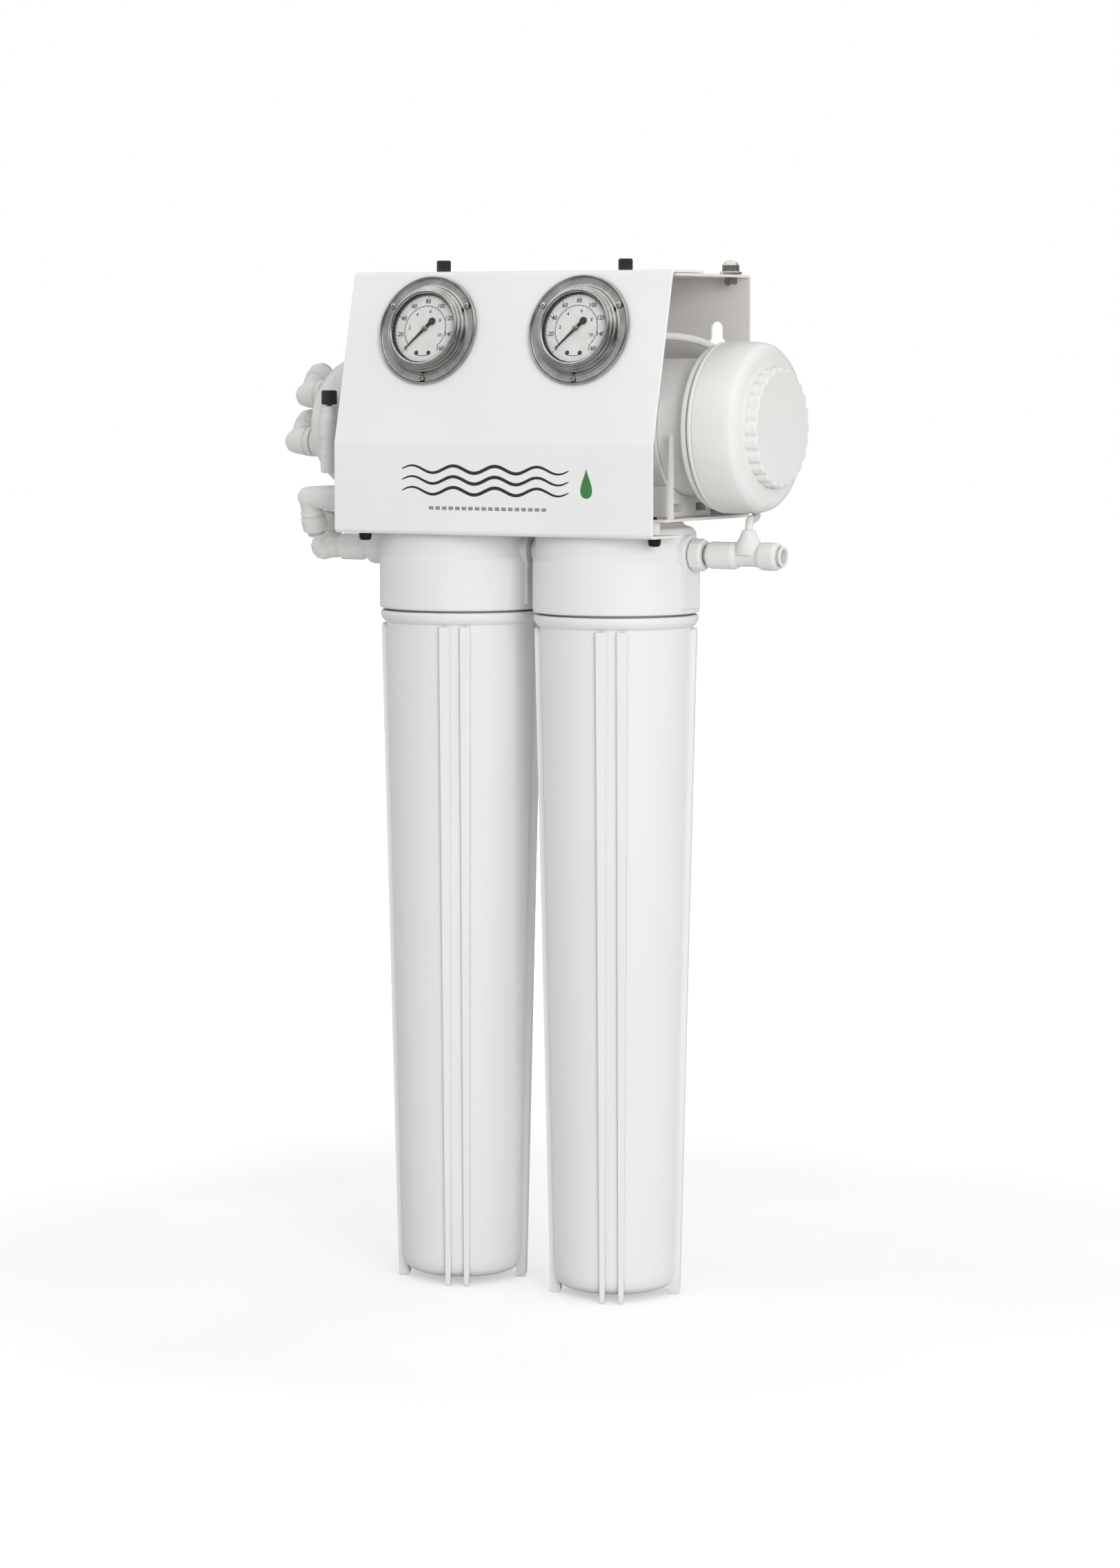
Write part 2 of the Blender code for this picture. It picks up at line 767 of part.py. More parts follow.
def link_nipple():
    """The short pipe that joins the two heads."""
    reach = HOUSING_X - PORT_FACE + 0.014
    turned(
        "link_nipple",
        [(0.0065, reach), (0.0086, reach), (0.0086, -reach), (0.0065, -reach), (0.0065, reach)],
        white_plastic,
        (0, HOUSING_Y, PORT_Z),
        RIGHT,
    )


# ---------------------------------------------------------------- membrane housing


def membrane_housing():
    """The barrel: a dome with three ports at the left, and a threaded neck at the right."""
    inner = BARREL_R - BARREL_WALL
    profile = [
        (inner, THREAD_END_X),
        (THREAD_R, THREAD_END_X),
        (THREAD_R, END_COLLAR_X + END_COLLAR_WIDTH),
        (END_COLLAR_R - 0.001, END_COLLAR_X + END_COLLAR_WIDTH),
        (END_COLLAR_R, END_COLLAR_X + END_COLLAR_WIDTH - 0.001),
        (END_COLLAR_R, END_COLLAR_X + 0.001),
        (END_COLLAR_R - 0.001, END_COLLAR_X),
        (BARREL_R, END_COLLAR_X),
    ]
    for step in range(5):
        turn = math.radians(22.5) * step
        profile.append((BARREL_R * math.cos(turn), BARREL_LEFT_X - DOME_DEPTH * math.sin(turn)))
    for step in range(4, -1, -1):
        turn = math.radians(22.5) * step
        inner_depth = (DOME_DEPTH - BARREL_WALL) * math.sin(turn)
        profile.append((inner * math.cos(turn), BARREL_LEFT_X - inner_depth))
    profile.append((inner, THREAD_END_X))
    obj = turned("membrane_housing", profile, white_plastic, (0, BARREL_Y, BARREL_Z), RIGHT, steps=24)
    for port, (y, z, face_x, radius) in PORTS.items():
        start = (BARREL_LEFT_X - 0.006, y, z)
        fuse(obj, cylinder(f"{port}_boss", radius, start, (face_x, y, z), steps=10))
    for port, (y, z, face_x, radius) in PORTS.items():
        start = (BARREL_LEFT_X + 0.006, y, z)
        cut(obj, cylinder(f"{port}_boss_bore", 0.0075, start, (face_x - 0.002, y, z), steps=12))
    return obj


def grip_outline():
    """The grip's scalloped rim: shallow hollows between rounded lobes."""
    points = []
    for step in range(GRIP_LOBES * 2):
        turn = 2 * math.pi * step / (GRIP_LOBES * 2)
        hollow = 0.5 - 0.5 * math.cos(GRIP_LOBES * turn)
        radius = CAP_GRIP_R - GRIP_DEPTH * hollow
        points.append((radius * math.cos(turn), radius * math.sin(turn)))
    return points


def membrane_cap():
    obj = turned(
        "membrane_cap",
        [
            (0, CAP_FACE_X),
            (CAP_R - 0.010, CAP_FACE_X),
            (CAP_R - 0.0045, CAP_FACE_X - 0.0016),
            (CAP_R - 0.0012, CAP_SHOULDER_X + 0.003),
            (CAP_R, CAP_SHOULDER_X),
            (CAP_R, CAP_REAR_X + 0.0015),
            (CAP_R - 0.0015, CAP_REAR_X),
            (CAP_BORE_R, CAP_REAR_X),
            (CAP_BORE_R, CAP_INNER_X),
            (0, CAP_INNER_X),
        ],
        white_plastic,
        (0, BARREL_Y, BARREL_Z),
        RIGHT,
        steps=24,
    )
    grip_depth = CAP_GRIP_X - CAP_FACE_X + 0.002
    mesh = outline_mesh("grip", grip_outline(), grip_depth)
    centre_x = CAP_GRIP_X - grip_depth / 2
    grip = place("membrane_cap_grip", mesh, None, (centre_x, BARREL_Y, BARREL_Z), RIGHT)
    return fuse(obj, grip)


def membrane_element():
    """The rolled membrane with its end rings, brine seal lip and core tube, as it is bought."""
    left = BARREL_LEFT_X + 0.004
    right = THREAD_END_X - 0.012
    roll = 0.0460
    ends = 0.0472
    core = 0.0095
    return turned(
        "membrane_element",
        [
            (0.0065, right + 0.008),
            (core, right + 0.008),
            (core, right),
            (ends, right),
            (ends, right - 0.010),
            (roll, right - 0.012),
            (roll, left + 0.012),
            (ends, left + 0.010),
            (ends, left),
            (core, left),
            (core, left - 0.008),
            (0.0065, left - 0.008),
            (0.0065, right + 0.008),
        ],
        element_wrap,
        (0, BARREL_Y, BARREL_Z),
        RIGHT,
        steps=16,
    )


def housing_clip(name, x):
    """A C-shaped clip on a block: the barrel snaps into it from above."""
    half = CLIP_WIDTH / 2
    low = SHELF_Z + GAP

    def at(offset, y=BARREL_Y, z=BARREL_Z):
        return (x + offset, y, z)

    obj = cylinder(name, CLIP_R, at(-half), at(half), white_plastic, steps=20)
    base_low = at(-half, BARREL_Y - CLIP_BASE_HALF, low)
    base_high = at(half, BARREL_Y + CLIP_BASE_HALF, BARREL_Z - 0.030)
    fuse(obj, box(f"{name}_base", base_low, base_high))
    bore = (BARREL_R + GAP) / math.cos(math.pi / 20)
    mouth_low = at(-CLIP_WIDTH, BARREL_Y - 0.1, BARREL_Z + CLIP_MOUTH_UP)
    mouth_high = at(CLIP_WIDTH, BARREL_Y + 0.1, 0.08)
    return cut(
        obj,
        cylinder(f"{name}_bore", bore, at(-CLIP_WIDTH), at(CLIP_WIDTH), steps=20),
        box(f"{name}_mouth", mouth_low, mouth_high),
    )


def membrane():
    membrane_housing()
    membrane_cap()
    seal_at = (THREAD_END_X + GAP + 0.0018, BARREL_Y, BARREL_Z)
    ring("cap_seal", 0.0525, 0.0018, seal_rubber, seal_at, RIGHT, steps=16)
    membrane_element()
    housing_clip("housing_clip_left", -CLIP_X)
    housing_clip("housing_clip_right", CLIP_X)


# ---------------------------------------------------------------- gauges


def gauge_point(side, height, radius=0.0, angle=0.0):
    """A point on a gauge: height above the cover along its normal, and a polar place on the dial."""
    turn = math.radians(angle)
    up_slope = Vector((0, math.sin(COVER_SLOPE), math.cos(COVER_SLOPE)))
    centre = Vector((side * GAUGE_X, GAUGE_Y, GAUGE_Z))
    return centre + COVER_NORMAL * height + radius * (RIGHT * math.cos(turn) + up_slope * math.sin(turn))


def gauge_case(name, side):
    obj = turned(
        name,
        [
            (0.0272, BEZEL_TOP - 0.0010),
            (0.0290, BEZEL_TOP),
            (0.0305, BEZEL_TOP),
            (0.0320, 0.0080),
            (0.0332, 0.0060),
            (0.0340, 0.0030),
            (GAUGE_FLANGE_R - 0.0006, 0.0030),
            (GAUGE_FLANGE_R, 0.0024),
            (GAUGE_FLANGE_R, GAP),
            (GAUGE_CASE_R, GAP),
            (GAUGE_CASE_R, GAUGE_BACK + 0.002),
            (GAUGE_CASE_R - 0.002, GAUGE_BACK),
            (0.0070, GAUGE_BACK),
            (0.0070, GAUGE_STEM_END),
            (TUBE_R + GAP, GAUGE_STEM_END),
            (TUBE_R + GAP, GAUGE_BACK + 0.004),
            (0.0290, GAUGE_BACK + 0.004),
            (0.0290, -0.0003),
            (0.0272, -0.0003),
            (0.0272, BEZEL_TOP - 0.0010),
        ],
        stainless,
        gauge_point(side, 0),
        COVER_NORMAL,
        steps=20,
    )
    bars = []
    for angle in GAUGE_BOLT_ANGLES:
        start = gauge_point(side, -0.004, GAUGE_BOLT_R, angle)
        end = gauge_point(side, 0.008, GAUGE_BOLT_R, angle)
        bars.append(cylinder(f"{name}_bore_{angle}", 0.0022, start, end, steps=8))
    return cut(obj, *bars)


def gauge_disc(name, side, radius, low, high, mat):
    return cylinder(name, radius, gauge_point(side, low), gauge_point(side, high), mat, steps=20)


def gauge_needle(name, side):
    """The pointer, its hub and its shaft. Local Z is the cover's normal, and the tip points to zero."""
    low = NEEDLE_HEIGHT
    thickness = 0.0008
    tip = 0.0220
    tail = 0.0095
    points = [(tip, 0.0002), (0.0, 0.0011), (-0.0045, 0.0009), (-tail, 0.0026)]
    points += [(x, -y) for x, y in reversed(points)]
    mesh = outline_mesh("pointer", points, thickness)
    obj = place(name, mesh, black_plastic, gauge_point(side, low))
    up_slope = gauge_point(side, 0, 1, 90) - gauge_point(side, 0)
    dial_x = RIGHT * math.cos(NEEDLE_ZERO) + up_slope * math.sin(NEEDLE_ZERO)
    dial_y = COVER_NORMAL.cross(dial_x)
    obj.rotation_euler = Matrix((dial_x, dial_y, COVER_NORMAL)).transposed().to_euler()
    hub_low = gauge_point(side, low - thickness)
    hub = cylinder(f"{name}_hub", 0.0026, hub_low, gauge_point(side, low + 0.0012), steps=10)
    shaft = cylinder(f"{name}_shaft", 0.0010, gauge_point(side, -0.006), gauge_point(side, low), steps=8)
    return fuse(obj, hub, shaft)


def gauge(name, side):
    gauge_case(f"{name}_gauge_case", side)
    dial_top = DIAL_HEIGHT + 0.0010
    dial = gauge_disc(f"{name}_gauge_dial", side, 0.0268, DIAL_HEIGHT, dial_top, dial_white)
    bore_low = gauge_point(side, DIAL_HEIGHT - 0.002)
    bore_high = gauge_point(side, DIAL_HEIGHT + 0.004)
    cut(dial, cylinder(f"{name}_dial_bore", 0.0014, bore_low, bore_high, steps=8))
    gauge_needle(f"{name}_gauge_needle", side)
    gauge_disc(f"{name}_gauge_lens", side, 0.0268, LENS_HEIGHT, LENS_HEIGHT + 0.0012, clear_glass)
    for index, angle in enumerate(GAUGE_BOLT_ANGLES, 1):
        turned(
            f"{name}_gauge_screw_{index}",
            [
                (0, 0.0020),
                (0.0022, 0.0018),
                (0.0032, 0.0008),
                (0.0032, 0),
                (0.0018, 0),
                (0.0018, -0.009),
                (0, -0.009),
            ],
            plated_steel,
            gauge_point(side, 0.0030 + GAP, GAUGE_BOLT_R, angle),
            COVER_NORMAL,
            steps=8,
        )


def gauge_tubes():
    """The right gauge reads the filters' outlet, and the left one reads between the two filters."""
    right_stem = gauge_point(1, GAUGE_STEM_END + 0.006)
    left_stem = gauge_point(-1, GAUGE_STEM_END + 0.006)
    inward = -COVER_NORMAL
    tube(
        "gauge_tube_right",
        [
            (TEE_X, HOUSING_Y, -0.0968),
            (TEE_X, HOUSING_Y, -0.0935),
            (TEE_X - 0.003, HOUSING_Y + 0.008, -0.0872),
            (TEE_X - 0.008, HOUSING_Y + 0.022, -0.0872),
            (0.165, -0.040, -0.0845),
            (0.148, -0.018, -0.0740),
            (0.130, -0.0095, -0.0560),
            (0.1275, -0.0090, -0.0200),
            (0.1265, -0.0095, 0.0200),
            (0.118, -0.026, 0.0430),
            (0.100, -0.057, 0.0510),
            (0.078, -0.084, 0.0480),
            right_stem + inward * 0.010,
            right_stem,
        ],
        tube_white,
    )
    tube(
        "gauge_tube_left",
        [
            left_stem,
            left_stem + inward * 0.010,
            (-0.0665, -0.068, 0.0430),
            (-0.0672, -0.034, 0.0380),
            (-0.0680, -0.0125, 0.0150),
            (-HOUSING_X, -0.0090, -0.0200),
            (-HOUSING_X, -0.0140, -0.0480),
            (-HOUSING_X, -0.0330, -0.0700),
            (-HOUSING_X, TUBE_PORT_Y, -0.0860),
            (-HOUSING_X, TUBE_PORT_Y, -0.0990),
        ],
        tube_white,
    )


# ---------------------------------------------------------------- fittings


def socket_profile(length, body_r, bore_r):
    """A push-fit socket from its inner end to its mouth at the top, open at the mouth."""
    return [
        (bore_r, length),
        (body_r - 0.0012, length),
        (body_r, length - 0.0012),
        (body_r, length - 0.014),
        (body_r - 0.0018, length - 0.016),
        (body_r - 0.0018, 0),
        (0, 0),
        (0, length - 0.016),
        (bore_r, length - 0.016),
        (bore_r, length),
    ]


def collet(name, mouth, direction, bore_r, mat):
    """The release collet: its flange stands off the socket's mouth and slides in to free the tube."""
    stem = bore_r - 0.0003
    hole = stem - 0.0012
    return turned(
        name,
        [
            (hole, 0.0015),
            (stem + 0.0012, 0.0015),
            (stem + 0.0016, 0.0010),
            (stem + 0.0016, 0),
            (stem, 0),
            (stem, -0.012),
            (hole, -0.012),
            (hole, 0.0015),
        ],
        mat,
        Vector(mouth) + Vector(direction) * (COLLET_TRAVEL + GAP),
        direction,
        steps=10,
    )


def connector(name, base, direction, stem_r, stem, hex_r, hex_length, body_r, length, bore_r):
    """A straight connector: a stem in the port, a nut face, and a socket whose mouth is at length."""
    base = Vector(base)
    obj = turned(
        name,
        [
            (bore_r, length),
            (body_r - 0.0015, length),
            (body_r, length - 0.0020),
            (body_r, length - 0.015),
            (body_r - 0.0015, length - 0.017),
            (body_r - 0.0015, hex_length),
            (hex_r, hex_length - 0.0008),
            (hex_r, 0.0008),
            (hex_r - 0.0008, 0),
            (stem_r, 0),
            (stem_r, -stem),
            (stem_r - 0.002, -stem),
            (stem_r - 0.002, length - 0.016),
            (bore_r, length - 0.016),
            (bore_r, length),
        ],
        white_plastic,
        base + Vector(direction) * GAP,
        direction,
    )
    mouth = base + Vector(direction) * (length + GAP)
    collet(f"{name.split('_')[0]}_collet", mouth, direction, bore_r, white_plastic)
    return obj


def dome_elbow(port):
    """An elbow on a dome port: one leg to the left, then a socket that leans back and up."""
    y, z, face_x, _ = PORTS[port]
    corner = Vector((face_x - 0.0180, y, z))
    lean = Vector((0, 0.8, 0.6))
    bore_r = 0.0058
    obj = turned(
        f"{port}_elbow",
        [
            (0, 0),
            (0.0105, 0),
            (0.0105, -0.0040),
            (0.0118, -0.0050),
            (0.0118, -0.0177),
            (0.0069, -0.0177),
            (0.0069, -0.0265),
            (0, -0.0265),
        ],
        white_plastic,
        corner,
        LEFT,
    )
    fuse(obj, ball(f"{port}_corner", 0.0110, corner))
    fuse(obj, turned(f"{port}_socket", socket_profile(0.030, 0.0102, bore_r), None, corner, lean))
    bore_low = corner + lean * 0.014
    cut(obj, cylinder(f"{port}_socket_bore", bore_r, bore_low, corner + lean * 0.040, steps=10))
    collet(f"{port}_collet", corner + lean * 0.030, lean, bore_r, white_plastic)


def inlet_elbow():
    """The elbow on the left head's inlet: its socket points up and leans back a little."""
    port = Vector((-HOUSING_X - PORT_FACE, HOUSING_Y, PORT_Z))
    corner = port + LEFT * 0.0600
    lean = INLET_LEAN
    bore_r = 0.0068
    length = 0.0600 - GAP
    obj = turned(
        "inlet_elbow",
        [
            (0, 0),
            (0.0085, 0),
            (0.0085, -0.0140),
            (0.0105, -0.0160),
            (0.0105, -0.0370),
            (0.0090, -0.0385),
            (0.0090, -0.0440),
            (0.0125, -0.0450),
            (0.0125, -length),
            (0.0087, -length),
            (0.0087, -length - 0.0140),
            (0, -length - 0.0140),
        ],
        white_plastic,
        corner,
        LEFT,
    )
    fuse(obj, ball("inlet_corner", 0.0118, corner))
    fuse(obj, turned("inlet_socket", socket_profile(0.024, 0.0114, bore_r), None, corner, lean))
    cut(obj, cylinder("inlet_socket_bore", bore_r, corner + lean * 0.008, corner + lean * 0.030))
    collet("inlet_collet", corner + lean * 0.024, lean, bore_r, white_plastic)


def outlet_tee():
    """The adapter in the right head's outlet, and the tee plugged into it."""
    port = Vector((HOUSING_X + PORT_FACE, HOUSING_Y, PORT_Z))
    turned(
        "outlet_adapter",
        [
            (0.0068, 0.0110),
            (0.0112, 0.0110),
            (0.0122, 0.0100),
            (0.0122, 0.0010),
            (0.0112, 0),
            (0.0087, 0),
            (0.0087, -0.0140),
            (0.0068, -0.0140),
            (0.0068, 0.0110),
        ],
        white_plastic,
        port + RIGHT * GAP,
        RIGHT,
    )
    left_end = port.x + 0.0140
    right_end = 0.2080
    bore_r = 0.0068
    obj = turned(
        "outlet_tee",
        [
            (bore_r, right_end),
            (0.0098, right_end),
            (0.0108, right_end - 0.0010),
            (0.0108, 0.1925),
            (0.0082, 0.1905),
            (0.0082, 0.1740),
            (0.0104, 0.1720),
            (0.0104, left_end + 0.001),
            (0.0094, left_end),
            (0.0064, left_end),
            (0.0064, port.x - 0.0080),
            (0, port.x - 0.0080),
            (0, right_end - 0.0160),
            (bore_r, right_end - 0.0160),
            (bore_r, right_end),
        ],
        white_plastic,
        (0, HOUSING_Y, PORT_Z),
        RIGHT,
    )
    centre = Vector((TEE_X, HOUSING_Y, PORT_Z))
    branch = [
        (0, 0.0195),
        (0.0058, 0.0195),
        (0.0062, 0.0180),
        (0.0090, 0.0130),
        (0.0092, 0.0090),
        (0.0080, 0),
        (0, 0),
    ]
    fuse(obj, turned("tee_branch", branch, None, centre, UP))
    bore_low = centre + UP * 0.0165
    cut(obj, cylinder("tee_branch_bore", TUBE_R + GAP, bore_low, centre + UP * 0.0300, steps=8))
    collet("outlet_collet", (right_end, HOUSING_Y, PORT_Z), RIGHT, bore_r, white_plastic)


def dome_fittings():
    dome_elbow("product")
    dome_elbow("waste")
    y, z, face_x, _ = PORTS["feed"]
    base = (face_x, y, z)
    connector("feed_connector", base, LEFT, 0.0069, 0.010, 0.0104, 0.0040, 0.0096, 0.0190, 0.0050)


def drain_bulkhead():
    """The drain elbow through the left ear: its flange is on the ear, and its socket points down."""
    base = Vector((-HALF_WIDTH - GAP, DRAIN_Y, DRAIN_Z))
    corner = base + LEFT * DRAIN_REACH
    bore_r = 0.0058
    length = 0.028
    obj = turned(
        "drain_bulkhead",
        [
            (0, 0),
            (0.0084, 0),
            (0.0100, 0.0360 - DRAIN_REACH),
            (0.0100, 0.0048 - DRAIN_REACH),
            (0.0108, 0.0040 - DRAIN_REACH),
            (0.0108, -DRAIN_REACH),
            (0.0061, -DRAIN_REACH),
            (0.0061, -DRAIN_REACH - 0.0140),
            (0, -DRAIN_REACH - 0.0140),
        ],
        white_plastic,
        corner,
        LEFT,
    )
    fuse(obj, ball("drain_corner", 0.0092, corner))
    fuse(obj, turned("drain_socket", socket_profile(length, 0.0100, bore_r), None, corner, DRAIN_LEAN))
    bore_low = corner + DRAIN_LEAN * 0.012
    bore_high = corner + DRAIN_LEAN * (length + 0.010)
    cut(obj, cylinder("drain_socket_bore", bore_r, bore_low, bore_high, steps=10))
    collet("drain_collet", corner + DRAIN_LEAN * length, DRAIN_LEAN, bore_r, white_plastic)


def flush_valve():
    """A needle valve held by its side stub in the left ear, with its knob on top."""
    low = -0.0550
    top = -0.0030
    obj = turned(
        "flush_valve_body",
        [
            (0, top),
            (0.0045, top),
            (0.0050, top - 0.004),
            (0.0060, top - 0.008),
            (0.0070, top - 0.010),
            (0.0070, low + 0.001),
            (0.0060, low),
            (0, low),
        ],
        white_plastic,
        (VALVE_X, VALVE_Y, 0),
    )
    middle = (VALVE_X, VALVE_STUB_Y, VALVE_STUB_Z)
    stem = (VALVE_X, VALVE_Y, top)
    fuse(
        obj,
        cylinder("valve_stub", 0.0029, middle, (-0.1300, *middle[1:]), steps=10),
        cylinder("valve_shoulder", 0.0042, middle, (-HALF_WIDTH - GAP, *middle[1:]), steps=10),
    )
    bore_low = Vector(stem) + DOWN * 0.012
    cut(obj, cylinder("valve_stem_bore", 0.0023, bore_low, Vector(stem) + UP * 0.002, steps=8))
    turned(
        "flush_valve_knob",
        [
            (0, 0.0112),
            (0.0056, 0.0112),
            (0.0061, 0.0107),
            (0.0061, 0),
            (0.0019, 0),
            (0.0019, -0.0100),
            (0, -0.0100),
        ],
        black_plastic,
        Vector(stem) + UP * 0.0010,
    )


# ---------------------------------------------------------------- build

clear_scene()
parts = new_collection("reverse_osmosis_unit")
cutters = new_collection("cutters")

powder_coat = material("powder_coat", (0.80, 0.80, 0.79), 0.45)
white_plastic = material("white_plastic", (0.82, 0.82, 0.80), 0.35)
black_plastic = material("black_plastic", (0.02, 0.02, 0.02), 0.45)
red_plastic = material("red_plastic", (0.50, 0.03, 0.02), 0.40)
seal_rubber = material("seal_rubber", (0.02, 0.02, 0.02), 0.60)
spun_white = material("spun_white", (0.85, 0.84, 0.80), 0.90)
carbon_grey = material("carbon_grey", (0.10, 0.10, 0.11), 0.85)
element_wrap = material("element_wrap", (0.75, 0.78, 0.80), 0.35)
stainless = material("stainless", (0.62, 0.61, 0.58), 0.22, 1.0)
plated_steel = material("plated_steel", (0.66, 0.65, 0.62), 0.25, 1.0)
dial_white = material("dial_white", (0.85, 0.85, 0.84), 0.50)
clear_glass = material("clear_glass", (0.90, 0.93, 0.92), 0.05, 0.0, 0.15)
tube_white = material("tube_white", (0.84, 0.84, 0.82), 0.40)

rear_bracket()
front_cover()
bracket_screws()
filter_housings()
membrane()
gauge("left", -1)
gauge("right", 1)
gauge_tubes()
dome_fittings()
drain_bulkhead()
flush_valve()
inlet_elbow()
outlet_tee()
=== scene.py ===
"""Looks of the wall-hung reverse osmosis unit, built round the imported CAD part.

Metres, +Z up, -Y is the front. Every CAD node gets a finer piece here, in the same place.
"""

import math

import bmesh
import bpy
from mathutils import Matrix, Vector


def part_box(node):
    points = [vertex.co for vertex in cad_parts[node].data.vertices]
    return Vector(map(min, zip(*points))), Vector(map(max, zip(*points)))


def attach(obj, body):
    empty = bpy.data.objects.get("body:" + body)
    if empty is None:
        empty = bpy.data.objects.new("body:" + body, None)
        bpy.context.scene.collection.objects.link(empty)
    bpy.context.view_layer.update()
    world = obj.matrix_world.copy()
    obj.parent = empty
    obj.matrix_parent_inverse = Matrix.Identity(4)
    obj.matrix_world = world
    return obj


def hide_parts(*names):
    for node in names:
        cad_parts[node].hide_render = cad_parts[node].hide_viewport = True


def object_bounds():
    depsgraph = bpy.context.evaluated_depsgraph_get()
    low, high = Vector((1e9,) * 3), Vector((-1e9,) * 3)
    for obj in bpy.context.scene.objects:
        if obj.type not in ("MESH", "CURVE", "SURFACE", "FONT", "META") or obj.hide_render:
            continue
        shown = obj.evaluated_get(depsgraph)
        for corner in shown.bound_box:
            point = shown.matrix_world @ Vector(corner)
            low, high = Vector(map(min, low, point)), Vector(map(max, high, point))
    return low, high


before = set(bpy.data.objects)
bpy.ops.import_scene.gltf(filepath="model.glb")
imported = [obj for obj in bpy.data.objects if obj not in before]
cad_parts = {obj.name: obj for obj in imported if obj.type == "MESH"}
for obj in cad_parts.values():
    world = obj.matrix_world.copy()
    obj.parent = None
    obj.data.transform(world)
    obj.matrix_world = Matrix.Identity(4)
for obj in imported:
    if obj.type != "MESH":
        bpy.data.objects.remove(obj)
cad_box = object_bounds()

LEFT = Vector((-1, 0, 0))
RIGHT = Vector((1, 0, 0))
UP = Vector((0, 0, 1))
QUARTER_X = Matrix.Rotation(math.radians(90), 4, "X")
# Local X, Y and Z to world Y, Z and X, for an outline seen from the side.
SIDEWAYS = Matrix.Rotation(math.radians(90), 4, "Z") @ QUARTER_X
SIDES = {-1: "left", 1: "right"}
MM = 0.001
GAP = 0.0003
SHEET = 0.002
HALF_SHEET = SHEET / 2
BEND_Z = -0.031
COVER_TOP_Y = -0.1285
FLANGE_BOLTS = (30, 150, 270)
BOLT_CIRCLE = 0.0375
TUBE_RADIUS = 0.003175
DIAL_INK = 0.00005
COVER_INK = 0.00004
STUB_Y, STUB_Z = -0.1245, -0.045


def middle(node):
    low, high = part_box(node)
    return (low + high) / 2


def mm(points, base=0.0):
    """Points given in millimetres, as metres, the second value counted from a base."""
    return [(x * MM, base + y * MM) for x, y in points]


# ---------------------------------------------------------------- node materials


class Tree:
    """Adds nodes to a node tree, and links an output or sets a value on each input."""

    def __init__(self, tree):
        self.tree = tree

    def plug(self, socket, value):
        if hasattr(value, "is_output"):
            self.tree.links.new(value, socket)
        else:
            socket.default_value = value

    def add(self, kind, **inputs):
        node = self.tree.nodes.new(kind)
        for key, value in inputs.items():
            self.plug(node.inputs[key.replace("_", " ")], value)
        return node

    def span(self, value, low, high, start=0.35, end=0.65, shape="LINEAR"):
        limits = {"From_Min": start, "From_Max": end, "To_Min": low, "To_Max": high}
        node = self.add("ShaderNodeMapRange", Value=value, **limits)
        node.interpolation_type = shape
        return node.outputs[0]

    def math(self, operation, a, b):
        node = self.add("ShaderNodeMath")
        node.operation = operation
        self.plug(node.inputs[0], a)
        self.plug(node.inputs[1], b)
        return node.outputs[0]

    def mix(self, amount, a, b, kind="RGBA"):
        node = self.add("ShaderNodeMix")
        node.data_type = kind
        first, made = {"RGBA": (6, 2), "FLOAT": (2, 0)}[kind]
        for slot, value in ((0, amount), (first, a), (first + 1, b)):
            self.plug(node.inputs[slot], value)
        return node.outputs[made]


class Nodes(Tree):
    """A named material and its shader."""

    def __init__(self, name):
        self.material = bpy.data.materials.new(name)
        self.material.use_nodes = True
        super().__init__(self.material.node_tree)
        self.shader = self.tree.nodes["Principled BSDF"]
        self.coords = self.add("ShaderNodeTexCoord").outputs["Object"]

    def set(self, name, value):
        self.plug(self.shader.inputs[name], value)

    def noise(self, scale, detail=2.0, roughness=0.5, stretch=None):
        vector = self.coords
        if stretch:
            vector = self.add("ShaderNodeMapping", Vector=vector, Scale=stretch).outputs[0]
        node = self.add("ShaderNodeTexNoise", Vector=vector, Scale=scale, Detail=detail, Roughness=roughness)
        return node.outputs[0]

    def crevices(self, distance):
        """One where the surface is open, falling to nought in corners and slots."""
        node = self.add("ShaderNodeAmbientOcclusion", Distance=distance)
        node.samples = 6
        return node.outputs["AO"]

    def bump(self, height, strength, distance):
        node = self.add("ShaderNodeBump", Height=height, Strength=strength, Distance=distance)
        self.set("Normal", node.outputs[0])


def rgb(red, green, blue):
    """A display colour, 0 to 255, as the linear colour that a shader takes."""

    def linear(value):
        value /= 255
        return value / 12.92 if value <= 0.04045 else ((value + 0.055) / 1.055) ** 2.4

    return (linear(red), linear(green), linear(blue), 1)


def grey(level):
    return rgb(level, level, level)


def painted_sheet(name, light, shade):
    """Powder coat: a fine orange peel, faint clouding, and dust and painted shade held in the folds."""
    mat = Nodes(name)
    cloud = mat.span(mat.noise(9, 3), 0, 1)
    base = mat.mix(cloud, shade, light)
    # Folds and corners are painted darker and warmer: partly dust, partly painted shade where the sheet is
    # occluded.
    dust_and_shade = mat.span(mat.crevices(0.006), 1, 0, 0.2, 0.8)
    mat.set("Base Color", mat.mix(mat.math("MULTIPLY", dust_and_shade, 0.30), base, rgb(176, 170, 160)))
    mat.set("Roughness", mat.span(mat.noise(60, 3), 0.36, 0.48))
    mat.set("Coat Weight", 0.15)
    mat.set("Coat Roughness", 0.25)
    mat.bump(mat.noise(900, 2, 0.6), 0.10, 0.0003)
    return mat.material


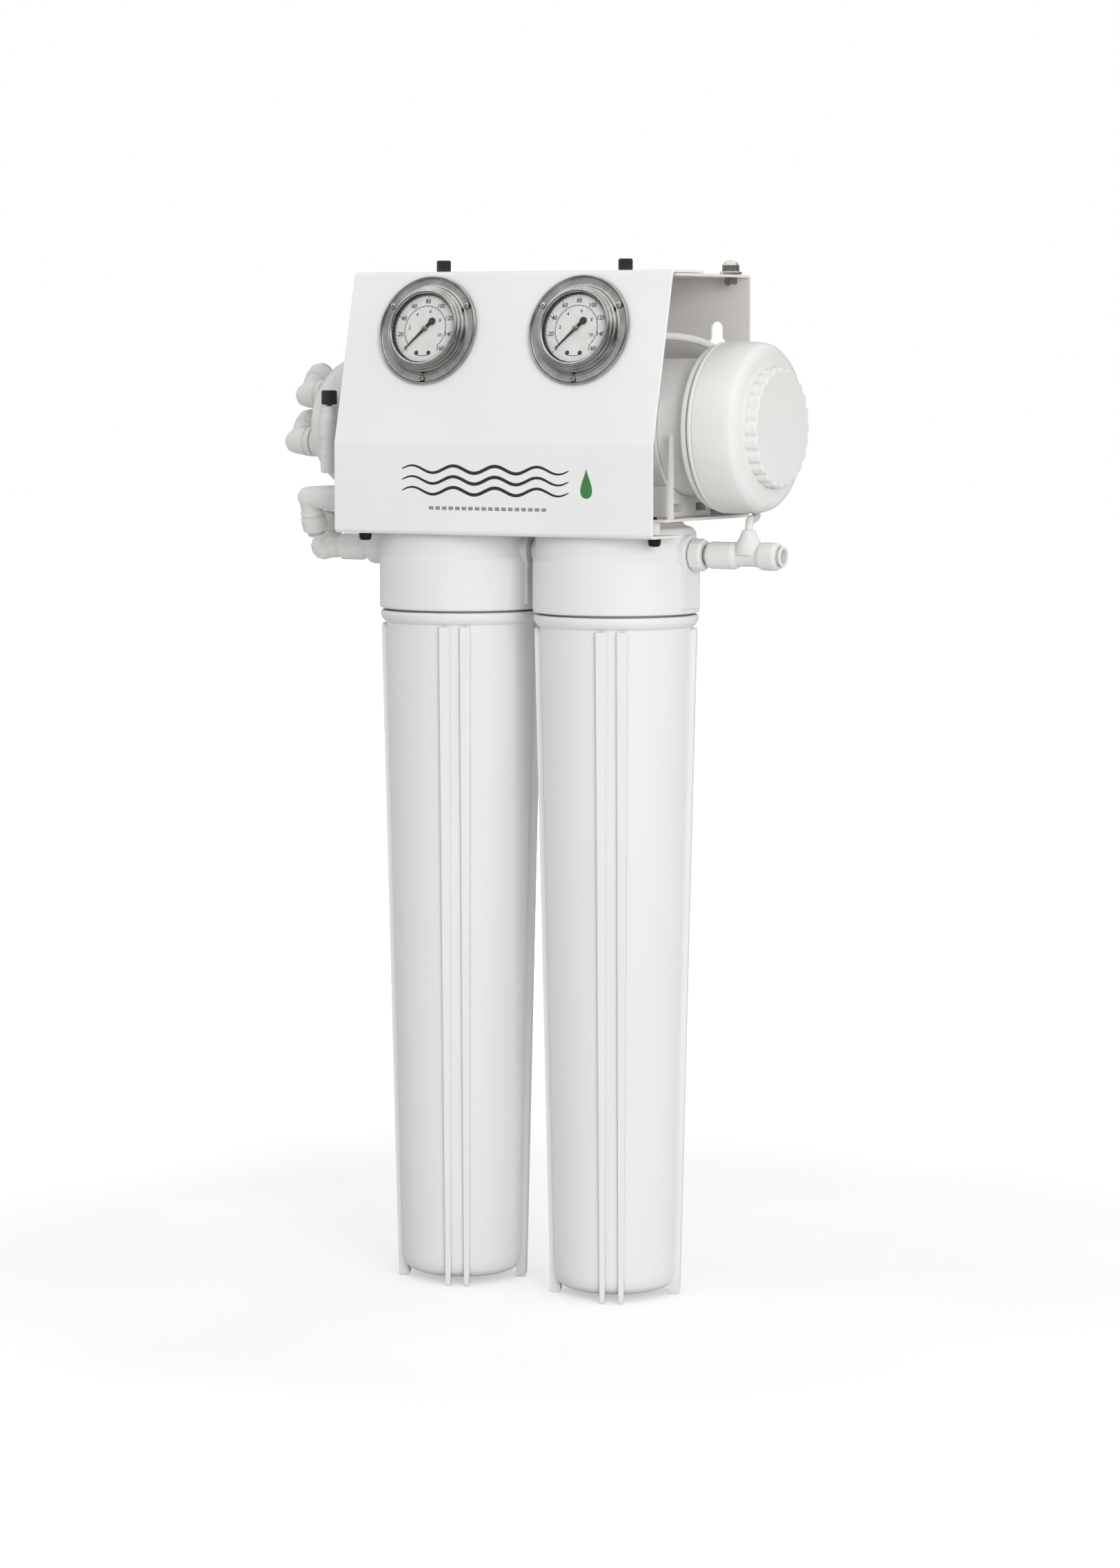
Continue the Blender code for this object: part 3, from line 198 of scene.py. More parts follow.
def moulded(name, light, shade, rough_low, rough_high, grain=700.0, flow=None):
    """Injection-moulded plastic: soft flow clouding, scuffs that change the gloss, and a fine texture."""
    mat = Nodes(name)
    cloud = mat.span(mat.noise(14, 4, 0.5, flow), 0, 1)
    # Corners and slots are painted darker and warmer: partly dust, partly painted shade where the surface is
    # occluded.
    dust_and_shade = mat.span(mat.crevices(0.004), 1, 0, 0.15, 0.75)
    grime_and_shade = mat.mix(mat.math("MULTIPLY", dust_and_shade, 0.35), mat.mix(cloud, light, shade), rgb(150, 144, 132))
    mat.set("Base Color", grime_and_shade)
    scuffs = mat.noise(120, 5, 0.65, (1.0, 1.0, 0.25))
    mat.set("Roughness", mat.span(scuffs, rough_low, rough_high))
    mat.bump(mat.noise(grain, 3, 0.6), 0.07, 0.0003)
    return mat.material


def metal(name, light, dark, rough_low, rough_high, grain):
    """Bare metal with fine polish marks, darker where it is stained, and with painted shade in its corners.
    """
    mat = Nodes(name)
    stain = mat.span(mat.noise(70, 4, 0.6), 0, 1)
    # Corners are painted darker as shade; the noise below adds real stains.
    crevice = mat.span(mat.crevices(0.003), 1, 0, 0.1, 0.8)
    stain_and_shade = mat.math("MAXIMUM", mat.math("MULTIPLY", stain, 0.5), crevice)
    mat.set("Base Color", mat.mix(stain_and_shade, light, dark))
    mat.set("Metallic", 1.0)
    mat.set("Roughness", mat.span(mat.noise(grain, 3, 0.6), rough_low, rough_high))
    mat.bump(mat.noise(grain, 2, 0.5), 0.05, 0.0002)
    return mat.material


def plain_grain(name, light, dark, roughness, scale, strength, stretch=None):
    """A dull material with a visible grain, such as spun fibre, carbon or moulded rubber."""
    mat = Nodes(name)
    grain = mat.noise(scale, 5, 0.65, stretch)
    mat.set("Base Color", mat.mix(mat.span(grain, 0, 1), light, dark))
    mat.set("Roughness", mat.span(mat.noise(scale / 4, 3), roughness - 0.06, roughness + 0.06))
    mat.bump(grain, strength, 0.0005)
    return mat.material


def window_glass():
    """Flat clear glass: it passes the light straight, and mirrors more at a glancing angle."""
    mat = Nodes("gauge_window_glass")
    smear = mat.span(mat.noise(200, 3), 0.01, 0.05)
    clear = mat.add("ShaderNodeBsdfTransparent", Color=(0.98, 0.98, 0.98, 1)).outputs[0]
    mirror = mat.add("ShaderNodeBsdfGlossy", Color=(1, 1, 1, 1), Roughness=smear).outputs[0]
    behind = mat.add("ShaderNodeNewGeometry").outputs["Backfacing"]
    fresnel = mat.add("ShaderNodeFresnel", IOR=1.45).outputs[0]
    mix = mat.add("ShaderNodeMixShader", Fac=mat.math("MULTIPLY", fresnel, mat.math("SUBTRACT", 1.0, behind)))
    mat.plug(mix.inputs[1], clear)
    mat.plug(mix.inputs[2], mirror)
    mat.plug(mat.tree.nodes["Material Output"].inputs["Surface"], mix.outputs[0])
    return mat.material


def dial_enamel():
    """Matt white enamel, a little yellow at places."""
    mat = Nodes("dial_enamel")
    mat.set("Base Color", mat.mix(mat.span(mat.noise(90, 3), 0, 1), rgb(240, 240, 238), rgb(230, 230, 226)))
    mat.set("Roughness", mat.span(mat.noise(400, 2), 0.45, 0.60))
    mat.bump(mat.noise(1500, 2), 0.05, 0.0001)
    return mat.material


def ink(name, colour, thin):
    """Screen-printed ink that thins out a little in places."""
    mat = Nodes(name)
    mat.set("Base Color", mat.mix(mat.span(mat.noise(700, 4, 0.7), 0, 1, 0.5, 0.8), colour, thin))
    mat.set("Roughness", mat.span(mat.noise(300, 3), 0.42, 0.60))
    mat.bump(mat.noise(1200, 2), 0.05, 0.0001)
    return mat.material


powder_white = painted_sheet("powder_coat_white", grey(243), grey(239))
# The bracket has the cover's powder coat, painted a little darker and warmer as the shade inside the cover.
shaded_bracket_powder = painted_sheet("powder_coat_bracket_shaded", rgb(236, 233, 229), rgb(231, 228, 223))
upright, level = (1, 1, 0.2), (0.2, 1, 1)
housing_white = moulded("housing_plastic", rgb(236, 236, 235), rgb(232, 232, 231), 0.30, 0.44, 500, upright)
membrane_white = moulded("membrane_plastic", rgb(236, 235, 233), rgb(232, 231, 228), 0.28, 0.42, 600, level)
fitting_white = moulded("fitting_plastic", rgb(234, 233, 231), rgb(228, 227, 224), 0.28, 0.44, 900)
tube_plastic = moulded("tube_plastic", rgb(234, 234, 230), rgb(226, 226, 220), 0.34, 0.48, 400)
black_nylon = moulded("black_nylon", rgb(34, 33, 32), rgb(46, 45, 44), 0.38, 0.55, 900)
red_button = moulded("red_button", rgb(176, 40, 32), rgb(160, 34, 28), 0.30, 0.45, 700)
stainless = metal("stainless_steel", rgb(186, 187, 184), rgb(104, 104, 100), 0.12, 0.24, 260)
black_oxide = metal("black_oxide_steel", rgb(58, 57, 56), rgb(34, 33, 32), 0.28, 0.45, 500)
zinc_plate = metal("zinc_plated_steel", rgb(214, 213, 208), rgb(130, 126, 118), 0.14, 0.30, 500)
dial_face = dial_enamel()
dark_print = ink("dark_print", rgb(40, 40, 43), rgb(66, 66, 70))
grey_print = ink("grey_print", rgb(140, 141, 143), rgb(170, 170, 172))
green_print = ink("green_print", rgb(60, 128, 66), rgb(88, 150, 84))
needle_black = ink("needle_enamel", rgb(22, 22, 24), rgb(40, 40, 42))
glass = window_glass()
seal_rubber = plain_grain("seal_rubber", grey(30), rgb(44, 43, 42), 0.55, 900, 0.10)
spun_fibre = plain_grain("spun_fibre", rgb(238, 236, 229), rgb(222, 219, 210), 0.88, 500, 0.55, (1, 1, 2.5))
carbon_block = plain_grain("carbon_block", rgb(70, 70, 72), rgb(46, 46, 48), 0.82, 420, 0.50)
element_tape = plain_grain("element_tape", rgb(214, 218, 222), rgb(198, 203, 208), 0.34, 60, 0.10, (6, 1, 1))

# The CAD material slot of each material. The prints have none of their own.
SLOTS = {
    mat.name: slot
    for slot, mats in {
        "powder_coat": (powder_white, shaded_bracket_powder),
        "white_plastic": (housing_white, membrane_white, fitting_white),
        "tube_white": (tube_plastic,),
        "black_plastic": (black_nylon, needle_black),
        "red_plastic": (red_button,),
        "stainless": (stainless,),
        "plated_steel": (black_oxide, zinc_plate),
        "dial_white": (dial_face,),
        "clear_glass": (glass,),
        "seal_rubber": (seal_rubber,),
        "spun_white": (spun_fibre,),
        "carbon_grey": (carbon_block,),
        "element_wrap": (element_tape,),
    }.items()
    for mat in mats
}


# ---------------------------------------------------------------- outlines


def softened(profile, radius, steps=2):
    """The profile with each corner rounded by a small arc, at most 0.4 of its shorter side."""
    closed = profile[0] == profile[-1]
    points = [Vector(point) for point in (profile[:-1] if closed else profile)]
    count = len(points)
    made = []
    for index, corner in enumerate(points):
        if not closed and index in (0, count - 1):
            made.append(corner)
            continue
        before = points[index - 1] - corner
        after = points[(index + 1) % count] - corner
        inset = min(radius, 0.4 * before.length, 0.4 * after.length)
        if before.angle(after) > math.radians(165) or corner.x == 0:
            made.append(corner)
            continue
        start = corner + before.normalized() * inset
        end = corner + after.normalized() * inset
        for step in range(steps + 1):
            t = step / steps
            made.append(start * (1 - t) ** 2 + corner * 2 * t * (1 - t) + end * t**2)
    if closed:
        made.append(made[0].copy())
    return made


def arc(radius, start, sweep, steps, centre=(0, 0)):
    """Points along an arc, from one angle through a sweep, in radians."""
    turns = [start + sweep * step / steps for step in range(steps + 1)]
    return [(centre[0] + radius * math.cos(turn), centre[1] + radius * math.sin(turn)) for turn in turns]


def lobed(radius, count, samples, hollow):
    """A round outline, hollow(wave) deep where the wave falls from one on a lobe to nought between two."""
    points = []
    for step in range(count * samples):
        turn = 2 * math.pi * step / (count * samples)
        reach = radius - hollow(0.5 + 0.5 * math.cos(count * turn))
        points.append((reach * math.cos(turn), reach * math.sin(turn)))
    return points


def hexagon(across_flats):
    return arc(across_flats / math.sqrt(3), 0, math.radians(300), 5)


def keyhole_outline():
    slot_r, slot_z, head_r, head_z = 0.005, 0.0573, 0.009, 0.042
    neck = math.asin(slot_r / head_r)
    slot = arc(slot_r, 0, math.pi, 16, (0, slot_z))
    return slot + arc(head_r, math.pi / 2 + neck, 2 * math.pi - 2 * neck, 40, (0, head_z))


def fold_path(corners, radius, steps=5):
    """The open (y, z) polyline through the corners, with each inner corner replaced by an arc."""
    points = [Vector(corners[0])]
    for before, corner, after in zip(corners, corners[1:], corners[2:]):
        corner = Vector(corner)
        back = (Vector(before) - corner).normalized()
        ahead = (Vector(after) - corner).normalized()
        half = back.angle(ahead) / 2
        inset = radius / math.tan(half)
        centre = corner + (back + ahead).normalized() * radius / math.sin(half)
        start = corner + back * inset - centre
        end = corner + ahead * inset - centre
        for step in range(steps + 1):
            points.append(centre + start.lerp(end, step / steps).normalized() * radius)
    points.append(Vector(corners[-1]))
    return points


def smooth_path(knots, steps):
    """Points of a Catmull-Rom curve through the knots, with its first and last spans straight."""
    knots = [Vector(knot) for knot in knots]
    points = [knots[0]]
    for a, b, c, d in zip(knots, knots[1:], knots[2:], knots[3:]):
        for step in range(steps):
            t = step / steps
            bent = (2 * a - 5 * b + 4 * c - d) * t**2 + (3 * b - a - 3 * c + d) * t**3
            points.append(0.5 * (2 * b + (c - a) * t + bent))
    return points + knots[-2:]


# ---------------------------------------------------------------- solids


def aimed(location, direction):
    """The matrix that puts the origin at the location and turns local Z along the direction."""
    turn = UP.rotation_difference(Vector(direction)).to_matrix().to_4x4()
    return Matrix.Translation(location) @ turn


def shaped(add, *sizes):
    """A bmesh that holds one shape."""
    work = bmesh.new()
    add(work, *sizes)
    return work


def add_mesh(work, part, matrix):
    """Copies one bmesh into another through a matrix."""
    mesh = bpy.data.meshes.new("part")
    bmesh.ops.transform(part, matrix=matrix, verts=part.verts)
    part.to_mesh(mesh)
    part.free()
    work.from_mesh(mesh)
    bpy.data.meshes.remove(mesh)


def add_turned(work, profile, matrix, steps=96, soften=0.0006):
    """A (radius, height) profile turned round local Z."""
    part = bmesh.new()
    verts = [part.verts.new((point[0], 0, point[1])) for point in softened(profile, soften)]
    edges = [part.edges.new(pair) for pair in zip(verts, verts[1:])]
    round_z = {"axis": UP, "cent": (0, 0, 0), "angle": 2 * math.pi}
    bmesh.ops.spin(part, geom=verts + edges, steps=steps, use_merge=True, **round_z)
    bmesh.ops.remove_doubles(part, verts=part.verts, dist=0.000002)
    bmesh.ops.recalc_face_normals(part, faces=part.faces)
    add_mesh(work, part, matrix)


def add_bar(work, radius, start, end, steps=48):
    start = Vector(start)
    along = Vector(end) - start
    half = Matrix.Translation((0, 0, along.length / 2))
    part = bmesh.new()
    bmesh.ops.create_cone(
        part, cap_ends=True, segments=steps, radius1=radius, radius2=radius, depth=along.length, matrix=half
    )
    add_mesh(work, part, aimed(start, along))


def drill(work, radius, spot, low, high, steps=48):
    """An upright bar through a spot, from one height to another."""
    add_bar(work, radius, (spot.x, spot.y, low), (spot.x, spot.y, high), steps)


def add_block(work, low, high):
    low = Vector(low)
    high = Vector(high)
    part = bmesh.new()
    bmesh.ops.create_cube(part, size=1, matrix=Matrix.Diagonal((*(high - low), 1)))
    add_mesh(work, part, Matrix.Translation((low + high) / 2))


def add_prism(work, outline, low, high, matrix):
    """A flat outline in local XY, extruded from one height to another."""
    part = bmesh.new()
    face = part.faces.new([part.verts.new((x, y, low)) for x, y in outline])
    made = bmesh.ops.extrude_face_region(part, geom=[face])
    top = [item for item in made["geom"] if isinstance(item, bmesh.types.BMVert)]
    bmesh.ops.translate(part, verts=top, vec=(0, 0, high - low))
    bmesh.ops.recalc_face_normals(part, faces=part.faces)
    add_mesh(work, part, matrix)


def add_loft(work, rings, matrix):
    """A skin through rings of points, closed at both ends."""
    part = bmesh.new()
    rows = [[part.verts.new(point) for point in ring] for ring in rings]
    for one, two in zip(rows, rows[1:]):
        for k in range(len(one)):
            after = (k + 1) % len(one)
            part.faces.new((one[k], one[after], two[after], two[k]))
    part.faces.new(rows[0])
    part.faces.new(rows[-1])
    bmesh.ops.recalc_face_normals(part, faces=part.faces)
    add_mesh(work, part, matrix)


def add_band(work, one, two, height, matrix):
    """A flat print between two lines of points."""
    add_loft(work, [((*a, 0), (*b, 0), (*b, height), (*a, height)) for a, b in zip(one, two)], matrix)


def add_sheet(work, corners, half_width):
    """A folded sheet along the (y, z) corners of its middle surface."""
    path = fold_path(corners, 0.003)
    front, back = [], []
    for index, point in enumerate(path):
        before = path[max(index - 1, 0)]
        after = path[min(index + 1, len(path) - 1)]
        along = (after - before).normalized()
        bend = 1.0
        if 0 < index < len(path) - 1:
            bend = 1 / math.cos((point - before).angle(after - point) / 2)
        offset = Vector((-along.y, along.x)) * HALF_SHEET * bend
        front.append(point + offset)
        back.append(point - offset)
    add_prism(work, front + back[::-1], -half_width, half_width, SIDEWAYS)


# ---------------------------------------------------------------- pieces


def placed(piece, mat, nodes=(), body="unit_body", slot=None):
    """The piece in the scene, riding on its body and standing for its CAD nodes."""
    bpy.context.scene.collection.objects.link(piece)
    piece.data.materials.append(mat)
    slot = slot or SLOTS.get(mat.name)
    if body:
        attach(piece, body)
        if nodes:
            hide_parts(*nodes)
    return piece


def finished(name, work, mat, nodes=(), body="unit_body", slot=None):
    """A named piece from a bmesh, shaded smooth."""
    mesh = bpy.data.meshes.new(name)
    work.to_mesh(mesh)
    work.free()
    mesh.shade_smooth()
    mesh.set_sharp_from_angle(angle=math.radians(40))
    return placed(bpy.data.objects.new(name, mesh), mat, nodes, body, slot)


def baked(piece):
    """Applies the piece's modifiers, and removes the cutters that they used."""
    graph = bpy.context.evaluated_depsgraph_get()
    graph.update()
    mesh = bpy.data.meshes.new_from_object(piece.evaluated_get(graph))
    used = [modifier.object for modifier in piece.modifiers if modifier.type == "BOOLEAN"]
    piece.modifiers.clear()
    piece.data = mesh
    for other in used:
        bpy.data.objects.remove(other)
    return piece


def cutter(work):
    return finished("cutter", work, powder_white, body=None)


def combine(piece, other, operation):
    modifier = piece.modifiers.new("combine", "BOOLEAN")
    modifier.operation = operation
    modifier.object = other


def cut(piece, work):
    combine(piece, cutter(work), "DIFFERENCE")


def fuse(piece, work):
    combine(piece, cutter(work), "UNION")


def edge_softened(piece, width, segments=2, angle=35):
    bevel = piece.modifiers.new("edges", "BEVEL")
    bevel.width = width
    bevel.segments = segments
    bevel.limit_method = "ANGLE"
    bevel.angle_limit = math.radians(angle)
    bevel.miter_outer = "MITER_ARC"
    return piece


def even_normals(piece):
    piece.modifiers.new("normals", "WEIGHTED_NORMAL").keep_sharp = True
    return piece


def dressed(piece, width, segments=2, angle=35):
    """Bakes the piece, then softens its edges."""
    even_normals(edge_softened(baked(piece), width, segments, angle))


def turned(name, profile, mat, location, direction, nodes=(), body="unit_body", steps=96, soften=0.0006):
    work = shaped(add_turned, profile, aimed(location, direction), steps, soften)
    return even_normals(finished(name, work, mat, nodes, body))


def melted(piece, voxel=0.0005, rounds=2):
    """Joins overlapping shells into one skin with soft inner corners, as one moulding has."""
    remesh = piece.modifiers.new("skin", "REMESH")
    remesh.mode = "VOXEL"
    remesh.voxel_size = voxel
    remesh.use_smooth_shade = True
    smooth = piece.modifiers.new("soften", "SMOOTH")
    smooth.iterations = rounds
    smooth.factor = 0.5
    return baked(piece)


def tube(name, knots, node):
    curve = bpy.data.curves.new(name, "CURVE")
    curve.dimensions = "3D"
    curve.bevel_depth = TUBE_RADIUS
    curve.bevel_resolution = 6
    curve.use_fill_caps = True
    spline = curve.splines.new("POLY")
    points = smooth_path(knots, 10)
    spline.points.add(len(points) - 1)
    for point, spot in zip(spline.points, points):
        point.co = (*spot, 1)
    placed(bpy.data.objects.new(name, curve), tube_plastic, [node])


# ---------------------------------------------------------------- places taken from the CAD

bracket_low, bracket_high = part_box("rear_bracket")
cover_low, cover_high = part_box("front_cover")
cap_low, cap_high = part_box("membrane_cap")
housing_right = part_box("membrane_housing")[1].x
barrel = Vector((0, middle("membrane_cap").y, middle("membrane_cap").z))
slope = math.atan2(COVER_TOP_Y - cover_low.y, cover_high.z - BEND_Z)
normal = Vector((0, -math.cos(slope), math.sin(slope)))
up_slope = Vector((0, math.sin(slope), math.cos(slope)))
gauge_centres = {side: middle(f"{name}_gauge_lens") - normal * 0.0092 for side, name in SIDES.items()}
heads = {side: middle(f"{name}_sump") for side, name in SIDES.items()}
thumbs = {side: middle(f"thumb_screw_{name}") for side, name in SIDES.items()}
cover_screws = {side: middle(f"cover_screw_{name}") for side, name in SIDES.items()}
vents = {side: middle(f"{name}_vent_button") for side, name in SIDES.items()}
top_bolt_at = middle("top_nut")
port_z = middle("link_nipple").z
shelf_top = bracket_low.z + SHEET
left_end = -0.172
feed = middle("feed_connector")
# Each port of the dome: its depth, its height, and the face its fitting stands on.
ports = {
    "product": (-0.066, 0.0046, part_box("product_elbow")[1].x - 0.0085),
    "waste": (-0.079, -0.0320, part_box("waste_elbow")[1].x - 0.0085),
    "feed": (feed.y, feed.z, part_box("feed_connector")[1].x - 0.0097),
}
BORES = {
    "feed": 0.0050, "inlet": 0.0068, "outlet": 0.0068, "product": 0.0058, "waste": 0.0058, "drain": 0.0058,
}


def gauge_point(side, height, radius=0.0, angle=0.0):
    """A point in the frame of a gauge: its height over the sloped cover, then a radius and an angle."""
    turn = math.radians(angle)
    spoke = RIGHT * math.cos(turn) + up_slope * math.sin(turn)
    return gauge_centres[side] + normal * height + radius * spoke


def dial_matrix(side, height):
    """Local X to the right, local Y up the slope, and local Z out of the dial."""
    turn = Matrix((RIGHT, up_slope, normal)).transposed().to_4x4()
    return Matrix.Translation(gauge_point(side, height)) @ turn


# ---------------------------------------------------------------- folded sheets


def build_cover():
    front, top = cover_low.y + HALF_SHEET, cover_high.z - HALF_SHEET
    bottom = cover_low.z + HALF_SHEET
    corners = [
        (cover_low.y + 0.048, bottom), (front, bottom), (front, BEND_Z), (COVER_TOP_Y + HALF_SHEET, top),
        (cover_high.y, top),
    ]
    work = shaped(add_sheet, corners, cover_high.x)
    piece = finished("front_cover_sheet", work, powder_white, ["front_cover"])
    holes = bmesh.new()
    for side in SIDES:
        drill(holes, 0.0665, heads[side], cover_low.z - 0.01, cover_low.z + 0.01, 128)
        drill(holes, 0.0026, cover_screws[side], cover_low.z - 0.01, cover_low.z + 0.01)
        drill(holes, 0.0028, thumbs[side], cover_high.z - 0.01, cover_high.z + 0.01)
        add_bar(holes, 0.0325, gauge_point(side, -0.02), gauge_point(side, 0.02), 96)
        for angle in FLANGE_BOLTS:
            ends = [gauge_point(side, height, BOLT_CIRCLE, angle) for height in (-0.01, 0.01)]
            add_bar(holes, 0.0022, *ends, 24)
    cut(piece, holes)
    dressed(piece, 0.0005)


def build_bracket():
    shelf_low = bracket_high.z - 0.1857
    shelf, top = shelf_low + HALF_SHEET, bracket_high.z - HALF_SHEET
    corners = [(-0.122, top), (-HALF_SHEET, top), (-HALF_SHEET, shelf), (-0.140, shelf)]
    work = shaped(add_sheet, corners, bracket_high.x)
    piece = finished("rear_bracket_sheet", work, shaded_bracket_powder, ["rear_bracket"])
    ears = bmesh.new()
    ear_half, ear_top = HALF_SHEET * 0.98, -0.023
    for side, back, taper in ((-1, -0.113, 0.0085), (1, -0.1255, 0.001)):
        outline = [(-0.133, shelf), (back, shelf), (back - taper, ear_top), (-0.129, ear_top)]
        inner = Matrix.Translation((side * (bracket_high.x - HALF_SHEET), 0, 0)) @ SIDEWAYS
        add_prism(ears, outline, -ear_half, ear_half, inner)
    fuse(piece, ears)
    spacers = bmesh.new()
    for spot in cover_screws.values():
        drill(spacers, 0.0045, spot, cover_low.z + SHEET + GAP, shelf, 40)
    fuse(piece, spacers)
    holes = bmesh.new()
    for side in SIDES:
        add_prism(holes, keyhole_outline(), -0.01, 0.01, Matrix.Translation((side * 0.111, 0, 0)) @ QUARTER_X)
        drill(holes, 0.0023, cover_screws[side], -0.12, -0.08, 24)
        drill(holes, 0.0024, thumbs[side], 0.09, 0.11, 24)
        drill(holes, 0.0062, vents[side], -0.095, -0.08)
    drill(holes, 0.0043, top_bolt_at, 0.09, 0.11)
    for number in range(1, 5):
        drill(holes, 0.0033, middle(f"head_screw_{number}"), -0.095, -0.08, 24)
    drill(holes, 0.0045, Vector((heads[-1].x, -0.043)), -0.095, -0.08, 32)
    drain = middle("drain_collet")
    add_bar(holes, 0.0064, (-0.16, drain.y, drain.z), (-0.12, drain.y, drain.z))
    add_bar(holes, 0.0033, (-0.16, STUB_Y, STUB_Z), (-0.12, STUB_Y, STUB_Z), 24)
    cut(piece, holes)
    dressed(piece, 0.0004)


# ---------------------------------------------------------------- knobs and bolts


def knob(name, base, height, radius, node, body, stem_r, stem, ridges):
    spot = Matrix.Translation(base)
    outline = lobed(radius, ridges, 6, lambda wave: radius * 0.13 * (1 - wave**1.5))
    work = shaped(add_prism, outline, 0.0006, height - 0.0007, spot)
    piece = finished(name, work, black_nylon, [node], body)
    core = [
        (0, height - 0.0006), (radius * 0.52, height - 0.0006), (radius * 0.62, height),
        (radius * 0.90, height), (radius * 0.93, height - 0.0012), (radius * 0.93, 0.0010),
        (radius * 0.90, 0), (stem_r, 0), (stem_r, -stem), (0, -stem),
    ]
    fuse(piece, shaped(add_turned, core, spot, 64, 0.0002))
    edge_softened(baked(piece), 0.00012, 1)


def hex_bolt(name, node, across, low, high, matrix, profile, steps, soften):
    """A hexagon fused with a turned shank or dome."""
    piece = finished(name, shaped(add_prism, hexagon(across), low, high, matrix), zinc_plate, [node])
    fuse(piece, shaped(add_turned, profile, matrix, steps, soften))
    dressed(piece, 0.0003)


def build_bracket_screws():
    for side, name in SIDES.items():
        node = f"thumb_screw_{name}"
        base = (thumbs[side].x, thumbs[side].y, cover_high.z + GAP)
        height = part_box(node)[1].z - base[2]
        knob(f"thumb_knob_{name}", base, height, 0.0055, node, f"{name}_thumb", 0.0021, 0.012, 20)
        spot = cover_screws[side]
        turned(
            f"cover_screw_head_{name}",
            mm([
                (0, 16), (2, 16), (2, 0), (5, 0), (5, -1.6), (4.6, -4.8), (3.6, -6), (2.4, -6), (2, -3.5),
                (0, -3.5),
            ]),
            black_oxide, (spot.x, spot.y, cover_low.z - GAP), UP, [f"cover_screw_{name}"], steps=48,
            soften=0.0003,
        )
    at = Matrix.Translation((top_bolt_at.x, top_bolt_at.y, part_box("top_nut")[0].z))
    dome = mm([
        (0, 10.8), (3, 10.4), (5.2, 9), (6, 6.8), (6, 2.6), (8.4, 1.8), (8.4, 0), (4.1, 0), (4.1, 7.5),
        (0, 7.5),
    ])
    hex_bolt("top_cap_nut", "top_nut", 0.0128, 0.0012, 0.0072, at, dome, 64, 0.0004)
    low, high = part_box("top_bolt")
    at = Matrix.Translation((top_bolt_at.x, top_bolt_at.y, 0))
    under_sheet = bracket_high.z - SHEET - GAP
    shank = mm([(0, -0.6), (3, -0.6), (3.8, -1.6)], high.z) + mm([(3.8, 0), (0, 0)], low.z)
    hex_bolt("top_bolt_shank", "top_bolt", 0.0098, low.z + 0.001, under_sheet, at, shank, 48, 0.0002)


def build_head_screws():
    shank = mm([(0, 1), (6.5, 1), (6.5, 0), (2.7, 0), (2.7, -15.5), (0, -15.5)])
    for number in range(1, 5):
        node = f"head_screw_{number}"
        at = Matrix.Translation((middle(node).x, middle(node).y, shelf_top + GAP))
        hex_bolt(f"head_bolt_{number}", node, 0.0098, 0.0004, 0.0046, at, shank, 48, 0.0002)


# ---------------------------------------------------------------- filter housings


def build_head(side):
    name = SIDES[side]
    low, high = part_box(f"{name}_head")
    x, y = heads[side].x, heads[side].y
    top, rim = high.z, low.z
    profile = (
        mm([(0, 0), (50, 0), (52, -4), (58.5, -6), (61.2, -9.5)], top)
        + mm([(62.2, -27.7), (63.7, -30.7), (64, -34.7)], top)
        + mm([(64, 2.4), (63.4, 0.4), (57, 0)], rim)
        + mm([(57, -41.2), (14, -41.2), (14, -45.7), (8, -45.7)], top)
        + mm([(8, 0), (0, 0)], port_z)
    )
    work = shaped(add_turned, profile, Matrix.Translation((x, y, 0)), 160, 0.0012)
    piece = finished(f"{name}_filter_head", work, housing_white, [f"{name}_head"])
    reach = x - low.x
    bosses = (
        mm([(0, 0), (14.6, 0), (15, -0.6)], reach)
        + mm([(15.4, 52), (15.4, -52)])
        + mm([(15, 0.6), (14.6, 0), (0, 0)], -reach)
    )
    fuse(piece, shaped(add_turned, bosses, aimed((x, y, port_z), RIGHT), 64, 0.0003))
    pads = bmesh.new()
    for step in (-1, 1):
        ends = sorted((x + step * 0.050, x + step * (reach - 0.0006)))
        add_block(pads, (ends[0], y - 0.0118, rim + 0.0046), (ends[1], y + 0.0118, port_z - 0.004))
    fuse(piece, pads)
    holes = bmesh.new()
    add_bar(holes, 0.0090, (x + 0.009, y, port_z), (x + reach + 0.001, y, port_z))
    add_bar(holes, 0.0090, (x - 0.030, y, port_z), (x - reach - 0.001, y, port_z))
    drill(holes, 0.0042, vents[side], -0.1005, -0.080, 32)
    for step in (-1, 1):
        drill(holes, 0.0030, Vector((x + step * 0.026, y)), -0.1035, -0.080, 24)
    if side < 0:
        drill(holes, 0.0035, Vector((x, -0.043)), -0.1000, -0.080, 24)
    cut(piece, holes)
    dressed(piece, 0.0003, 2, 50)


